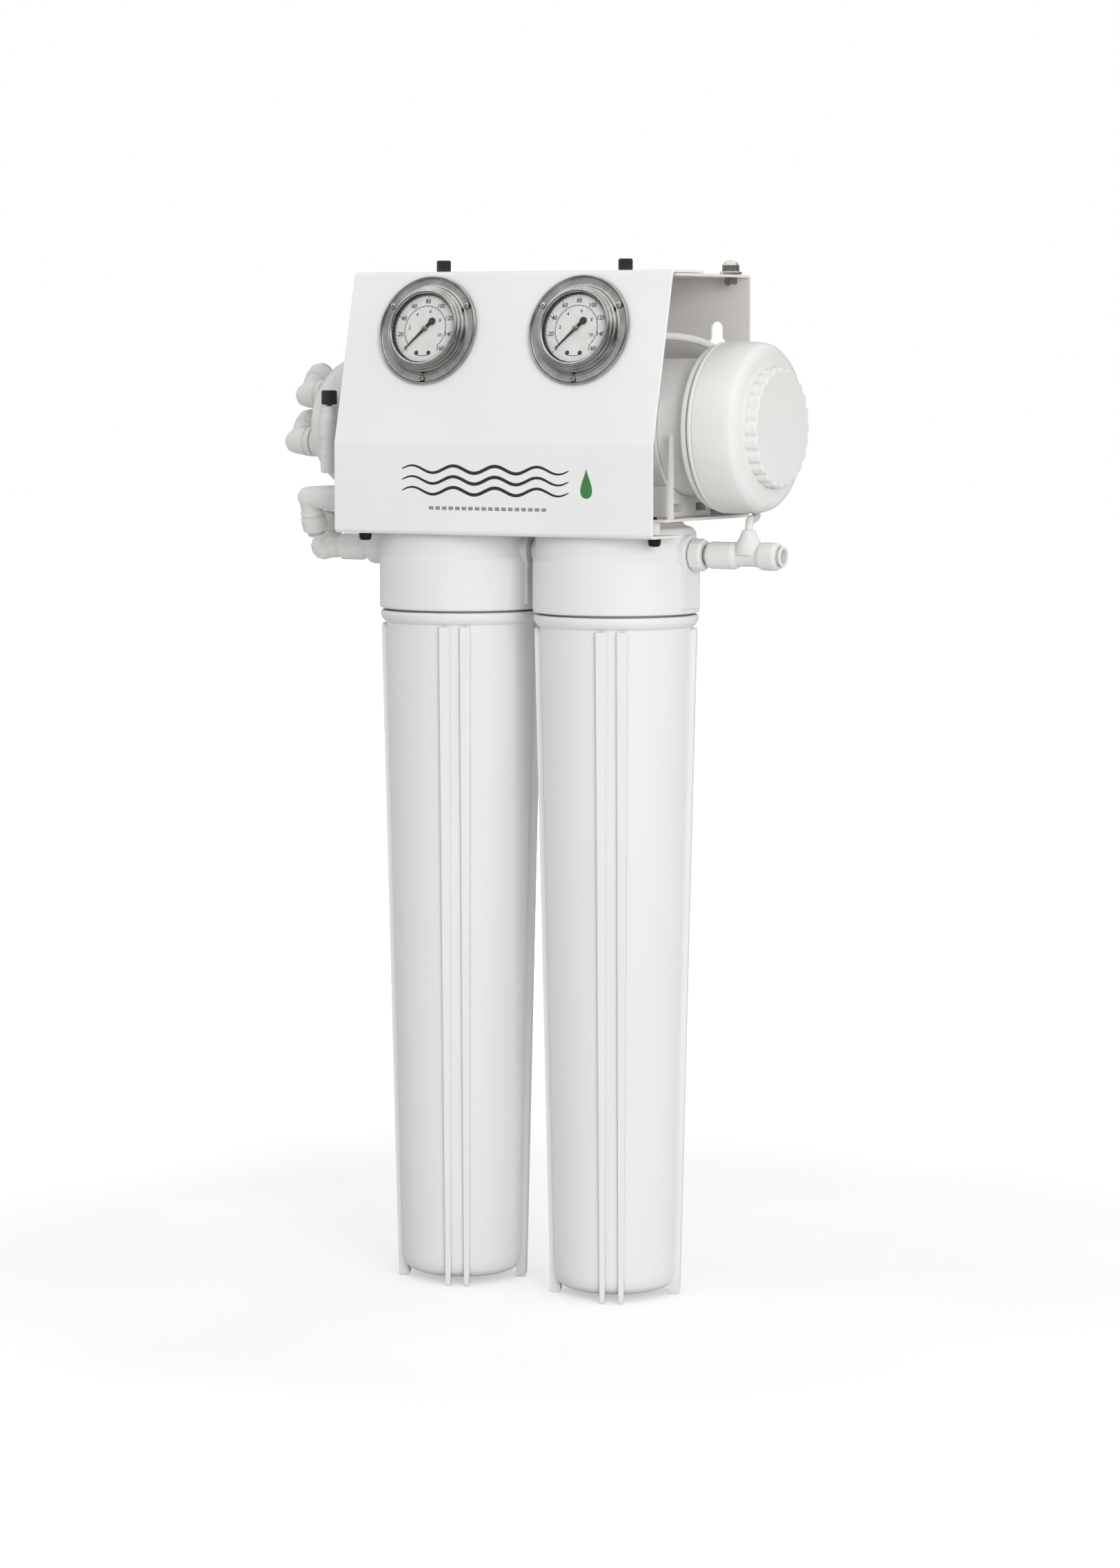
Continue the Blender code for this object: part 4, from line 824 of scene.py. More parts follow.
def build_sump(side):
    """A tapered bowl with a screw collar, and four pairs of ribs that end as feet."""
    name = SIDES[side]
    low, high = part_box(f"{name}_sump")
    spot = Matrix.Translation((heads[side].x, heads[side].y, 0))
    foot, neck_top = low.z, high.z
    bottom = foot + 0.005
    collar_top = neck_top - 0.0266
    collar_low = neck_top - 0.0360
    post_top = middle("carbon_cartridge").z - 0.2545
    top_r, bottom_r = 0.0588, 0.0472

    def radius(z):
        return top_r + (bottom_r - top_r) * (collar_low - z) / (collar_low - bottom)

    thread = []
    for turn in range(4):
        z = collar_top + 0.0215 - turn * 0.005
        thread += mm([(55.8, 1.6), (56.6, 0.8), (56.6, -0.4), (55.8, -1.2)], z)
    profile = (
        mm([(51.5, 0), (55.8, 0)], neck_top)
        + thread
        + mm([(55.8, 2), (56.2, 0), (62, 0)], collar_top)
        + mm([(63.1, -1.2), (63.2, -3.2), (62.6, -5.6), (61.3, -7.6)], collar_top)
        + mm([(60.2, 0.6), (58.8, 0)], collar_low)
        + [(radius(bottom + 0.014), bottom + 0.014)]
        + mm([(46.8, 9), (45.2, 5), (42.2, 2), (38.2, 0.4), (33.2, 0), (14, 0.8), (0, 0.8)], bottom)
        + mm([(0, 0), (11, 0), (12, -2)], post_top)
        + mm([(12, 5), (41.2, 5), (43.2, 8)], bottom)
        + mm([(54.8, -6)], collar_low)
        + mm([(51.5, -3)], collar_top)
        + mm([(51.5, 0)], neck_top)
    )
    work = shaped(add_turned, profile, spot, 180, 0.0009)
    piece = finished(f"{name}_filter_sump", work, housing_white, [f"{name}_sump"], f"{name}_sump_bowl")
    ribs = bmesh.new()
    for quarter in range(4):
        turn = Matrix.Rotation(math.radians(25 - 90 + 90 * quarter), 4, "Z")
        for step in (-1, 1):
            add_rib(ribs, step, collar_low - 0.0014, bottom, foot, radius, spot @ turn)
    fuse(piece, ribs)
    even_normals(baked(piece))


def add_rib(work, step, top, bottom, foot, radius, matrix):
    """One rib: a long tapered bar, wide at the top and narrow at its foot, with rounded outer edges."""
    # At each height: half the width, the distance from the pair's centre, and how far it stands out and in.
    stations = [
        (top, 0.0040, 0.0080, 0.0030, -0.003),
        (top - 0.004, 0.0040, 0.0080, 0.0032, -0.003),
        ((top + bottom) / 2, 0.0031, 0.0076, 0.0031, -0.003),
        (bottom + 0.012, 0.0022, 0.0072, 0.0030, -0.003),
        (bottom + 0.004, 0.0021, 0.0072, 0.0030, -0.0045),
        (foot + 0.001, 0.0019, 0.0072, 0.0029, -0.0050),
        (foot, 0.0016, 0.0072, 0.0024, -0.0046),
    ]
    rings = []
    for z, half, offset, out, root in stations:
        soft = min(0.0007, half * 0.45)
        edge = radius(z) + out
        inner = radius(z) + root
        centre = step * offset
        near = [(inner, -half), (edge - soft, -half)]
        near += [(edge - soft * 0.3, soft * 0.3 - half), (edge, soft - half)]
        far = [(reach, -across) for reach, across in reversed(near)]
        rings.append([(reach, centre + across, z) for reach, across in near + far])
    add_loft(work, rings, matrix)


def build_vents():
    button = mm([(0, 3.6), (4, 4), (5, 3.6), (5.5, 2.8), (5.5, 0), (3.8, 0), (3.8, -13), (0, -13)])
    for side, name in SIDES.items():
        node = f"{name}_vent_button"
        spot = (vents[side].x, vents[side].y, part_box(node)[0].z + 0.013)
        turned(f"{name}_vent_cap", button, red_button, spot, UP, [node], f"{name}_vent", 48)


# ---------------------------------------------------------------- membrane housing


def build_membrane_housing():
    collar = cap_low.x - 0.0015
    outer, inner, depth, wall = 0.052, 0.048, 0.032, 0.004

    def dome(radius, length):
        """The rounded left end, from its rim to the axis."""
        turns = [math.radians(90 * step / 12) for step in range(12)]
        rounded = [(radius * math.cos(turn), left_end - length * math.sin(turn)) for turn in turns]
        return rounded + [(0, left_end - length)]

    profile = (
        mm([(48, 0), (56.2, 0), (56.2, -1)], housing_right)
        + mm([(56.2, 0), (61.5, 0), (62.5, -1), (62.5, -4), (61.5, -5), (53, -5), (52, -6)], collar)
        + dome(outer, depth)
        + dome(inner, depth - wall)[::-1]
        + mm([(48, 0)], housing_right)
    )
    work = shaped(add_turned, profile, aimed(barrel, RIGHT), 160, 0.0008)
    piece = finished("membrane_barrel", work, membrane_white, ["membrane_housing"])
    bosses = bmesh.new()
    holes = bmesh.new()
    root = left_end - 0.006
    for port, radius in (("product", 0.0130), ("waste", 0.0120), ("feed", 0.0105)):
        y, z, face_x = ports[port]
        length = root - face_x
        boss = [
            (0, length), (radius - 0.0012, length), (radius - 0.0002, length - 0.001), (radius + 0.0008, 0),
            (0, 0),
        ]
        add_turned(bosses, boss, aimed((root, y, z), LEFT), 64, 0.0005)
        add_bar(holes, 0.0075, (left_end + 0.006, y, z), (face_x - 0.002, y, z))
    fuse(piece, bosses)
    cut(piece, holes)
    dressed(piece, 0.0004, 2, 50)


def build_membrane_cap():
    face = cap_high.x - 0.009
    profile = (
        mm([(0, 0), (47, 0), (56, -0.6), (60, -2.2), (62.8, -5.2), (64, -9.5), (64.8, -20)], face)
        + mm([(64.8, 4.5), (64.2, 3.8), (64.8, 2.8), (64.8, 1), (63.8, 0), (57.8, 0)], cap_low.x)
        + mm([(57.8, -8), (0, -8)], face)
    )
    work = shaped(add_turned, profile, aimed(barrel, RIGHT), 192, 0.0010)
    piece = finished("membrane_screw_cap", work, membrane_white, ["membrane_cap"], "screw_cap")
    outline = lobed(0.0452, 24, 10, lambda wave: 0.0024 * (1 - wave) ** 3)
    grip = cutter(shaped(add_prism, outline, face - 0.003, cap_high.x, aimed(barrel, RIGHT)))
    combine(piece, edge_softened(grip, 0.0012, 3, 60), "UNION")
    even_normals(baked(piece))


def build_clip(name):
    """A saddle that wraps most of the barrel and stands on a hollow foot."""
    low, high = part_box(name)
    bore, outer, base_half = 0.0523, 0.0565, 0.036
    mouth = math.asin(0.022 / outer)
    lip = mouth * 1.08
    outline = arc(outer, mouth, -math.pi - 2 * mouth, 48) + arc(bore, lip, -math.pi - 2 * lip, 48)[::-1]
    half = (high.x - low.x) / 2
    at = Matrix.Translation((low.x + half, barrel.y, barrel.z)) @ SIDEWAYS
    piece = finished(f"{name}_moulding", shaped(add_prism, outline, -half, half, at), fitting_white, [name])
    start = (low.x + 0.0002, barrel.y - base_half, low.z)
    fuse(piece, shaped(add_block, start, (high.x - 0.0002, barrel.y + base_half, barrel.z - 0.044)))
    hollow = bmesh.new()
    add_bar(hollow, bore, (low.x - 0.01, barrel.y, barrel.z), (high.x + 0.01, barrel.y, barrel.z), 160)
    for y in (barrel.y - 0.020, barrel.y + 0.020):
        start = (low.x + 0.003, y - 0.008, low.z + 0.004)
        add_block(hollow, start, (high.x + 0.01, y + 0.008, low.z + 0.010))
    cut(piece, hollow)
    dressed(piece, 0.0005, 2, 40)


# ---------------------------------------------------------------- gauges


def add_ring_band(work, inner, outer, start, end, matrix, steps=96):
    """A flat printed arc between two angles, in degrees anticlockwise from the right."""
    sweep = (math.radians(start), math.radians(end - start), steps)
    add_band(work, arc(inner, *sweep), arc(outer, *sweep), DIAL_INK, matrix)


def add_figures(work, words, size, radius, angle, matrix):
    """Printed figures, centred on a point of the dial."""
    curve = bpy.data.curves.new("figures", "FONT")
    curve.body = words
    curve.size = size
    curve.align_x = "CENTER"
    curve.align_y = "CENTER"
    curve.extrude = 0.00003
    curve.offset = size * 0.02
    curve.resolution_u = 4
    holder = bpy.data.objects.new("figures", curve)
    bpy.context.scene.collection.objects.link(holder)
    graph = bpy.context.evaluated_depsgraph_get()
    graph.update()
    mesh = bpy.data.meshes.new_from_object(holder.evaluated_get(graph))
    bpy.data.objects.remove(holder)
    part = bmesh.new()
    part.from_mesh(mesh)
    bpy.data.meshes.remove(mesh)
    turn = math.radians(angle)
    spot = Matrix.Translation((radius * math.cos(turn), radius * math.sin(turn), 0))
    add_mesh(work, part, matrix @ spot)


def build_gauge(side):
    name = SIDES[side]
    centre = gauge_point(side, 0)
    # The bezel, the stepped shell, the mounting flange, the can behind the cover, the stem, and back inside.
    shell = mm([
        (26.9, 5.2), (26.9, 9.8), (27.3, 10.7), (28.2, 11), (29.3, 10.9), (29.9, 10.2), (30, 8.5),
        (31.2, 8.3), (31.7, 7.8), (31.8, 5.8), (33, 5.6), (33.5, 5), (33.7, 2.6),
        (34.8, 2), (40.2, 2), (41, 3.4), (41.8, 3.6), (42.5, 2.6), (42.5, 0.6), (42, 0.3),
        (31.5, 0.3), (31.5, -26), (29.5, -28), (7, -28), (7, -40), (3.5, -40), (3.5, -24), (29, -24),
        (29, 3.4), (26.9, 4), (26.9, 5.2),
    ])
    plate = mm([(1.4, 5.6), (26.7, 5.6), (26.7, 4.6), (1.4, 4.6), (1.4, 5.6)])
    pane = mm([(0, 9.8), (26.3, 9.8), (26.7, 9.4), (26.7, 8.6), (0, 8.6)])
    gasket = mm([(26.1, 8.5), (26.7, 8.5), (26.7, 5.7), (26.1, 5.7), (26.1, 8.5)])
    for part, profile, mat, nodes, steps, soften in (
        ("gauge_shell", shell, stainless, [f"{name}_gauge_case"], 160, 0.0005),
        ("dial_plate", plate, dial_face, [f"{name}_gauge_dial"], 128, 0.0001),
        ("window", pane, glass, [f"{name}_gauge_lens"], 128, 0.0002),
        ("window_gasket", gasket, seal_rubber, (), 128, 0.0001),
    ):
        turned(f"{name}_{part}", profile, mat, centre, normal, nodes, steps=steps, soften=soften)
    build_print(side, name)
    build_needle(side, name)
    head = mm([(0, 2.4), (1.2, 2.3), (2.1, 1.7), (2.6, 0.7), (2.6, 0), (1.8, 0), (1.8, -8.5), (0, -8.5)])
    cross = []
    for turn in range(4):
        quarter = Matrix.Rotation(math.radians(90 * turn), 2)
        cross += [quarter @ Vector(point) for point in mm([(1.8, -0.3), (1.8, 0.3), (0.3, 0.3)])]
    askew = Matrix.Rotation(math.radians(20), 4, "Z")
    for number, angle in enumerate(FLANGE_BOLTS, 1):
        node = f"{name}_gauge_screw_{number}"
        spot = gauge_point(side, 0.0022, BOLT_CIRCLE, angle)
        screw = turned(
            f"{name}_flange_screw_{number}", head, zinc_plate, spot, normal, [node], steps=40, soften=0.0002
        )
        cut(screw, shaped(add_prism, cross, 0.0011, 0.004, aimed(spot, normal) @ askew))
        baked(screw)


def build_print(side, name):
    """Two scales round three quarters of the dial: 0 to 160 outside, and a grey one to 11 inside."""
    start, sweep = 225, 270
    matrix = dial_matrix(side, 0.00562)
    marks = bmesh.new()
    for step in range(41):
        angle = start - sweep * step / 40
        long = step % 5 == 0
        half = 0.55 if long else 0.32
        add_ring_band(marks, 0.0242 if long else 0.0249, 0.0258, angle - half, angle + half, matrix, 1)
        if long:
            add_figures(marks, str(step // 5 * 20), 0.0047, 0.0215, angle, matrix)
    for x in (-0.0054, 0.0054):
        spot = Matrix.Translation((x, -0.0186, 0))
        add_turned(marks, [(0, DIAL_INK), (0.0018, DIAL_INK), (0.0018, 0), (0, 0)], matrix @ spot, 24, 0)
    add_ring_band(marks, 0.0206, 0.0211, 256, 284, matrix, 12)
    finished(f"{name}_dial_marks", marks, dark_print)
    inner_scale = bmesh.new()
    add_ring_band(inner_scale, 0.0176, 0.0184, -47, 227, matrix)
    for step in range(23):
        angle = start - sweep * step / 22
        add_ring_band(inner_scale, 0.0169, 0.0177, angle - 0.6, angle + 0.6, matrix, 1)
    finished(f"{name}_dial_inner_scale", inner_scale, grey_print)
    inner_figures = bmesh.new()
    for step in range(1, 6):
        add_figures(inner_figures, str(step * 2), 0.0038, 0.0140, start - sweep * step / 5.5, matrix)
    finished(f"{name}_dial_inner_figures", inner_figures, dark_print)


def build_needle(side, name):
    """The pointer rests on zero, at the lower left, with its round counterweight at the upper right."""
    low = 0.0068
    dial = dial_matrix(side, low)
    matrix = dial @ Matrix.Rotation(math.radians(225), 4, "Z")
    outline = mm([(22.2, 0.25), (15, 0.6), (0, 1.15), (-5.8, 1.5)])
    outline += [(x, -y) for x, y in reversed(outline)]
    work = shaped(add_prism, outline, -0.0003, 0.0003, matrix)
    piece = finished(f"{name}_pointer", work, needle_black, [f"{name}_gauge_needle"], f"{name}_needle")
    disc = mm([(0, 0.45), (2.6, 0.45), (2.9, 0.2), (2.9, -0.35), (0, -0.35)])
    fuse(piece, shaped(add_turned, disc, matrix @ Matrix.Translation((-0.0082, 0, 0)), 48, 0.0001))
    shaft = mm([(0, 0.2), (2, 0.2), (2, -0.7), (1, -0.7), (1, -12.6), (0, -12.6)])
    fuse(piece, shaped(add_turned, shaft, dial, 40, 0.0001))
    baked(piece)
    hub = mm([(0, 1.3), (1.1, 1.3), (1.3, 0.9), (2.1, 0.8), (2.3, 0.4), (0, 0.4)])
    turned(
        f"{name}_pointer_hub", hub, zinc_plate, gauge_point(side, low), normal, body=f"{name}_needle",
        steps=48, soften=0.0001,
    )


def build_gauge_tubes():
    """The right gauge is fed from the outlet tee, and the left one from the left head."""
    ends = {side: [gauge_point(side, -0.034), gauge_point(side, -0.044)] for side in SIDES}
    x, y = 0.182, middle("outlet_collet").y
    knots = [
        (x, y, -0.0968), (x, y, -0.0935), (x - 0.003, y + 0.008, -0.0872), (x - 0.008, y + 0.022, -0.0872),
        (0.165, -0.040, -0.0845), (0.148, -0.018, -0.0740), (0.130, -0.0095, -0.0560),
        (0.1275, -0.0090, -0.0200), (0.1265, -0.0095, 0.0200), (0.118, -0.026, 0.0430),
        (0.100, -0.057, 0.0510), (0.078, -0.084, 0.0480),
    ]
    tube("right_gauge_hose", knots + ends[1][::-1], "gauge_tube_right")
    x = heads[-1].x
    knots = [
        (x + 0.0020, -0.068, 0.0430), (x + 0.0013, -0.034, 0.0380), (x + 0.0005, -0.0125, 0.0150),
        (x, -0.0090, -0.0200), (x, -0.0140, -0.0480), (x, -0.0330, -0.0700), (x, -0.0430, -0.0860),
        (x, -0.0430, -0.0990),
    ]
    tube("left_gauge_hose", ends[-1] + knots, "gauge_tube_left")


# ---------------------------------------------------------------- fittings


def socket(length, body_r):
    """The outer shape of a push-fit socket, from its inner end to its mouth."""
    mouth = mm([(-2.2, 0), (-1, -0.6), (0, -2.2), (0, -11.8), (-1.8, -12.4), (-1.8, -13.8)], length)
    neck = mm([(-0.8, -14.4), (-0.8, -16), (-2, -17.5)], length) + mm([(-2.2, 0)])
    return [(0, length)] + [(body_r + x, z) for x, z in mouth + neck] + [(0, 0)]


def stem_profile(radius, tip, start, end, base=0.0):
    """The plain end of a fitting that goes into its port, with a chamfered tip."""
    return mm([(0, start), (radius, start), (radius, end + 0.3), (tip, end), (0, end)], base)


def collet(port, direction, mouth=None):
    """The release collet: a flanged ring that stands off the socket's mouth by its travel."""
    direction = Vector(direction)
    node = f"{port}_collet"
    base = mouth + direction * 0.0023 if mouth else middle(node) + direction * 0.00525
    ring = mm([(-1.2, 0.9), (-0.6, 1.5), (1, 1.5), (1.6, 0.9), (1.6, 0), (0, -0.2), (0, -12), (-1.2, -12)])
    ring.append(ring[0])
    profile = [(BORES[port] - GAP + x, z) for x, z in ring]
    turned(
        f"{port}_port_collet", profile, fitting_white, base, direction, [node], f"{port}_release", 64, 0.0003
    )


def fitting(name, node, work, stem, bore, voxel=0.0005, rounds=2):
    """Overlapping shells melted into one moulding, with the stem fused on and the bore cut."""
    piece = melted(finished(name, work, fitting_white, [node]), voxel, rounds)
    fuse(piece, stem)
    cut(piece, bore)
    baked(piece)


def elbow(port, node, corner, lean, work, reach, body_r, stem):
    """An elbow whose first leg points right, into its port, and whose socket leans from the corner."""
    add_turned(work, socket(reach, body_r), aimed(corner, lean), 64, 0.0003)
    bore = shaped(add_bar, BORES[port], corner + lean * (reach - 0.016), corner + lean * (reach + 0.010))
    fitting(f"{port}_port_elbow", node, work, shaped(add_turned, stem, aimed(corner, LEFT), 48, 0.0001), bore)
    collet(port, lean, corner + lean * reach)


def add_nut_ribs(work, centre, reach, radius, half):
    """Eight ribs round a hand nut that is turned round the X axis."""
    for k in range(8):
        turn = math.radians(45 * k)
        spot = centre + Vector((0, math.cos(turn), math.sin(turn))) * reach
        add_bar(work, radius, spot - RIGHT * half, spot + RIGHT * half, 12)


def build_dome_elbow(port):
    """An elbow whose first leg is a cone that widens towards its nut on the dome."""
    y, z, face_x = ports[port]
    corner = Vector((face_x - 0.0180, y, z))
    leg = mm([
        (0, 8.5), (4.6, 7.8), (8, 4.8), (9.4, 0.2), (10.6, -7), (11.4, -10.8), (9.8, -11.4), (9.8, -12.6),
        (11.8, -13.2), (11.8, -16.8), (11, -17.4), (0, -17.4),
    ])
    work = shaped(add_turned, leg, aimed(corner, LEFT), 64, 0.0004)
    stem = stem_profile(6.9, 6.4, -15, -26.5)
    elbow(port, f"{port}_elbow", corner, Vector((0, 0.8, 0.6)), work, 0.030, 0.0102, stem)


def build_feed_connector():
    """A straight connector that points left: a stem in the port, a nut, and a socket."""
    y, z, face_x = ports["feed"]
    profile = mm([
        (5, 19), (7.8, 19), (9, 18.2), (9.6, 16.4), (9.6, 5), (8.4, 2.5), (9, 8), (9, 4), (9, 3.8),
        (10.4, 2.4), (10.4, 1.2), (9.2, 0), (6.9, 0), (6.9, -10), (4.9, -10), (4.9, 3), (5, 3), (5, 19),
    ])
    base = (face_x - GAP, y, z)
    turned("feed_port_connector", profile, fitting_white, base, LEFT, ["feed_connector"], soften=0.0005)
    collet("feed", LEFT)


def build_drain_elbow():
    """The elbow through the left ear: a long cone, a round corner, and a socket that points down."""
    reach = 0.0462
    corner = Vector((bracket_low.x - GAP - reach, -0.1235, -0.0745))
    leg = mm([(0, 8.2), (4.6, 7.4), (7.4, 4.6), (8.4, 0), (9.4, -16)]) + mm(
        [(10.2, 6.6), (9, 6), (9, 4.8), (10.8, 4.2), (10.8, 0.6), (10.2, 0), (0, 0)], -reach
    )
    work = shaped(add_turned, leg, aimed(corner, LEFT), 64, 0.0004)
    lean = Vector((0, 0.4, -1)).normalized()
    stem = stem_profile(6.1, 5.6, 2, -14, -reach)
    elbow("drain", "drain_bulkhead", corner, lean, work, 0.028, 0.0100, stem)


def build_inlet_elbow():
    """The elbow on the left head: a ribbed hand nut, a round corner, and a socket that points up."""
    corner = Vector((heads[-1].x - 0.126, heads[-1].y, port_z))
    leg = mm([
        (0, 5), (7, 4), (9.8, 0), (9.2, -12), (8.6, -15), (9.2, -17), (10.5, -17.8), (10.5, -36),
        (9.6, -37.2), (8.6, -39), (8.6, -43.6), (12.5, -44.6), (12.5, -58.5), (11.6, -59.5), (0, -59.5),
    ])
    ball = mm([(0, 11.2), (6.2, 9.4), (9.9, 5), (11.2, 0), (9.9, -5), (6.2, -9.4), (0, -11.2)])
    work = shaped(add_turned, leg, aimed(corner, LEFT), 64, 0.0006)
    add_turned(work, ball, Matrix.Translation(corner), 64, 0)
    add_nut_ribs(work, corner + RIGHT * 0.0515, 0.0120, 0.0011, 0.0056)
    lean = Vector((0, 0.4, 1)).normalized()
    elbow("inlet", "inlet_elbow", corner, lean, work, 0.024, 0.0114, stem_profile(8.6, 8, -56, -73.7))


def build_outlet_tee():
    """The adapter in the right head, and the tee on it, whose branch feeds the right gauge."""
    port = Vector((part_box("outlet_adapter")[1].x - 0.0110, heads[1].y, port_z))
    nut = mm([(0, 11), (10.6, 11), (11.6, 10.2), (11.9, 9), (11.9, 1.2), (11, 0), (0, 0)])
    work = shaped(add_turned, nut, aimed(port, RIGHT), 64, 0.0005)
    add_nut_ribs(work, port + RIGHT * 0.0053, 0.0116, 0.0010, 0.0044)
    stem = shaped(add_turned, stem_profile(8.6, 8, 2, -14), aimed(port, RIGHT), 48, 0.0001)
    bore = shaped(add_bar, BORES["outlet"], port - RIGHT * 0.02, port + RIGHT * 0.02)
    fitting("outlet_port_adapter", "outlet_adapter", work, stem, bore)

    low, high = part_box("outlet_tee")
    start, end = high.x - 0.0595, high.x
    run = (
        mm([(0, 0), (8.4, 0), (10, -0.8), (10.8, -2.8), (10.8, -13.5), (9.8, -15.5), (8.4, -17.5)], end)
        + mm([(8.1, -26), (8.4, -34), (10, -36.2), (10.5, -38)], end)
        + mm([(10.5, 3), (9.8, 1), (8.4, 0), (0, 0)], start)
    )
    branch = mm([
        (0, 19.5), (5.2, 19.5), (5.8, 18.8), (6, 17), (7.2, 14), (9.6, 10), (11, 6), (11.2, 1), (0, 1),
    ])
    tee = Vector((0.182, port.y, port.z))
    work = shaped(add_turned, run, aimed((0, port.y, port.z), RIGHT), 96, 0.0005)
    add_turned(work, branch, aimed(tee, UP), 64, 0.0004)
    stem = shaped(add_bar, 0.0064, (low.x, port.y, port.z), (start + 0.003, port.y, port.z))
    bores = shaped(add_bar, BORES["outlet"], (end - 0.016, port.y, port.z), (end + 0.01, port.y, port.z))
    add_bar(bores, 0.0035, tee + UP * 0.0165, tee + UP * 0.030, 32)
    fitting("outlet_port_tee", "outlet_tee", work, stem, bores)
    collet("outlet", RIGHT)


def build_flush_valve():
    """An upright valve on a stub through the left ear, with a knurled knob."""
    low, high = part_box("flush_valve_body")
    spot = middle("flush_valve_knob")
    top = high.z
    profile = mm([(0, 0), (4.3, 0), (5, -1.5), (5.2, -6), (6.2, -8), (7, -10), (7, -24), (6.1, -26)], top)
    profile += mm([(6.1, -34), (7, -36)], top) + mm([(7, 1.5), (5.8, 0), (0, 0)], low.z)
    work = shaped(add_turned, profile, Matrix.Translation((spot.x, spot.y, 0)), 64, 0.0004)
    add_bar(work, 0.0042, (spot.x, STUB_Y, STUB_Z), (bracket_low.x - 0.0004, STUB_Y, STUB_Z))
    stem = shaped(add_bar, 0.0029, (spot.x + 0.008, STUB_Y, STUB_Z), (high.x, STUB_Y, STUB_Z))
    bore = shaped(drill, 0.0023, spot, top - 0.012, top + 0.002, 32)
    fitting("flush_valve_moulding", "flush_valve_body", work, stem, bore, 0.0004, 3)
    base = (spot.x, spot.y, top + 0.0010)
    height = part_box("flush_valve_knob")[1].z - base[2]
    knob("flush_valve_handle", base, height, 0.0061, "flush_valve_knob", "valve_knob", 0.0019, 0.010, 18)


# ---------------------------------------------------------------- printed mark on the cover


def add_stroke(work, points, width, matrix):
    """A flat printed line of changing width through the points."""
    below, above = [], []
    for index, point in enumerate(points):
        before = Vector(points[max(index - 1, 0)])
        after = Vector(points[min(index + 1, len(points) - 1)])
        along = (after - before).normalized()
        side = Vector((-along.y, along.x)) * width(index / (len(points) - 1)) / 2
        below.append(Vector(point) - side)
        above.append(Vector(point) + side)
    add_band(work, below, above, COVER_INK, matrix)


def build_mark():
    """A plain mark in place of lettering: waves, a dashed rule and a drop."""
    matrix = Matrix.Translation((0, cover_low.y - 0.00002, 0)) @ QUARTER_X
    left, width, wavelength = -0.078, 0.146, 0.0365
    waves = bmesh.new()
    for row in range(3):
        points = []
        for step in range(97):
            x = left + width * step / 96
            wave = math.sin(2 * math.pi * (x - left) / wavelength)
            points.append((x, -0.0500 - 0.0082 * row + 0.0027 * wave))
        add_stroke(waves, points, lambda t: 0.0006 + 0.0020 * math.sin(math.pi * t) ** 0.5, matrix)
    rule = bmesh.new()
    for step in range(18):
        x = -0.054 + 0.0058 * step
        add_stroke(rule, [(x, -0.0795), (x + 0.0040, -0.0795)], lambda t: 0.0026, matrix)
    outline = []
    for step in range(64):
        turn = 2 * math.pi * step / 64
        half = 0.0062 * math.sin(turn) * (0.5 - 0.5 * math.cos(turn)) * 1.25
        outline.append((0.0830 + half, -0.0590 + 0.0115 * math.cos(turn)))
    drop = shaped(add_prism, outline, 0, COVER_INK, matrix)
    finished("cover_mark_waves", waves, dark_print, slot="powder_coat")
    finished("cover_mark_rule", rule, grey_print, slot="powder_coat")
    finished("cover_mark_drop", drop, green_print, slot="powder_coat")


# ---------------------------------------------------------------- parts inside the housings


def build_ring(name, node, body, direction):
    low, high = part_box(node)
    size = high - low
    minor = min(size) / 2
    profile = arc(minor, math.pi / 2, -2 * math.pi, 16, (max(size) / 2 - minor, 0))
    profile[-1] = profile[0]
    turned(name, profile, seal_rubber, middle(node), direction, [node], body, 128, 0)


def build_cartridge(name, node, body, mat):
    """A block with fine rings between two flat end caps."""
    low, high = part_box(node)
    spot = middle(node)
    length = high.z - low.z
    band = length - 0.017
    profile = mm([(14.5, 0), (30.5, 0), (30.5, -8), (31.5, -8.5)], length)
    for step in range(1, 48):
        profile.append((0.0311 if step % 2 else 0.0315, length - 0.0085 - band * step / 48))
    profile += mm([(31.5, 8.5), (30.5, 8), (30.5, 0), (14.5, 0)]) + mm([(14.5, 0)], length)
    turned(name, profile, mat, (spot.x, spot.y, low.z), UP, [node], body, 72, 0.0004)


def build_inside():
    """Finer seals, cartridges, element and nipple, which show when the housings are opened."""
    build_ring("left_seal_ring", "left_seal", "left_cartridge_carrier", UP)
    build_ring("right_seal_ring", "right_seal", "right_cartridge_carrier", UP)
    build_ring("cap_seal_ring_piece", "cap_seal", "cap_seal_ring", RIGHT)
    build_cartridge("sediment_filter", "sediment_cartridge", "left_cartridge_carrier", spun_fibre)
    build_cartridge("carbon_filter", "carbon_cartridge", "right_cartridge_carrier", carbon_block)
    low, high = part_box("membrane_element")
    profile = (
        mm([(6.5, 0), (9.5, 0), (9.5, -8), (47.2, -8), (47.2, -18), (45.8, -20)], high.x)
        + [(0.0460, 0)]
        + mm([(45.8, 20), (47.2, 18), (47.2, 8), (9.5, 8), (9.5, 0), (6.5, 0)], low.x)
        + mm([(6.5, 0)], high.x)
    )
    turned("membrane_roll", profile, element_tape, barrel, RIGHT, ["membrane_element"])
    low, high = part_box("link_nipple")
    half = (high.x - low.x) / 2
    profile = (
        mm([(6.5, 0), (8.2, 0), (8.6, -1)], half)
        + mm([(8.6, 1), (8.2, 0), (6.5, 0)], -half)
        + mm([(6.5, 0)], half)
    )
    turned("head_link_pipe", profile, fitting_white, middle("link_nipple"), RIGHT, ["link_nipple"], steps=64)


# ---------------------------------------------------------------- build

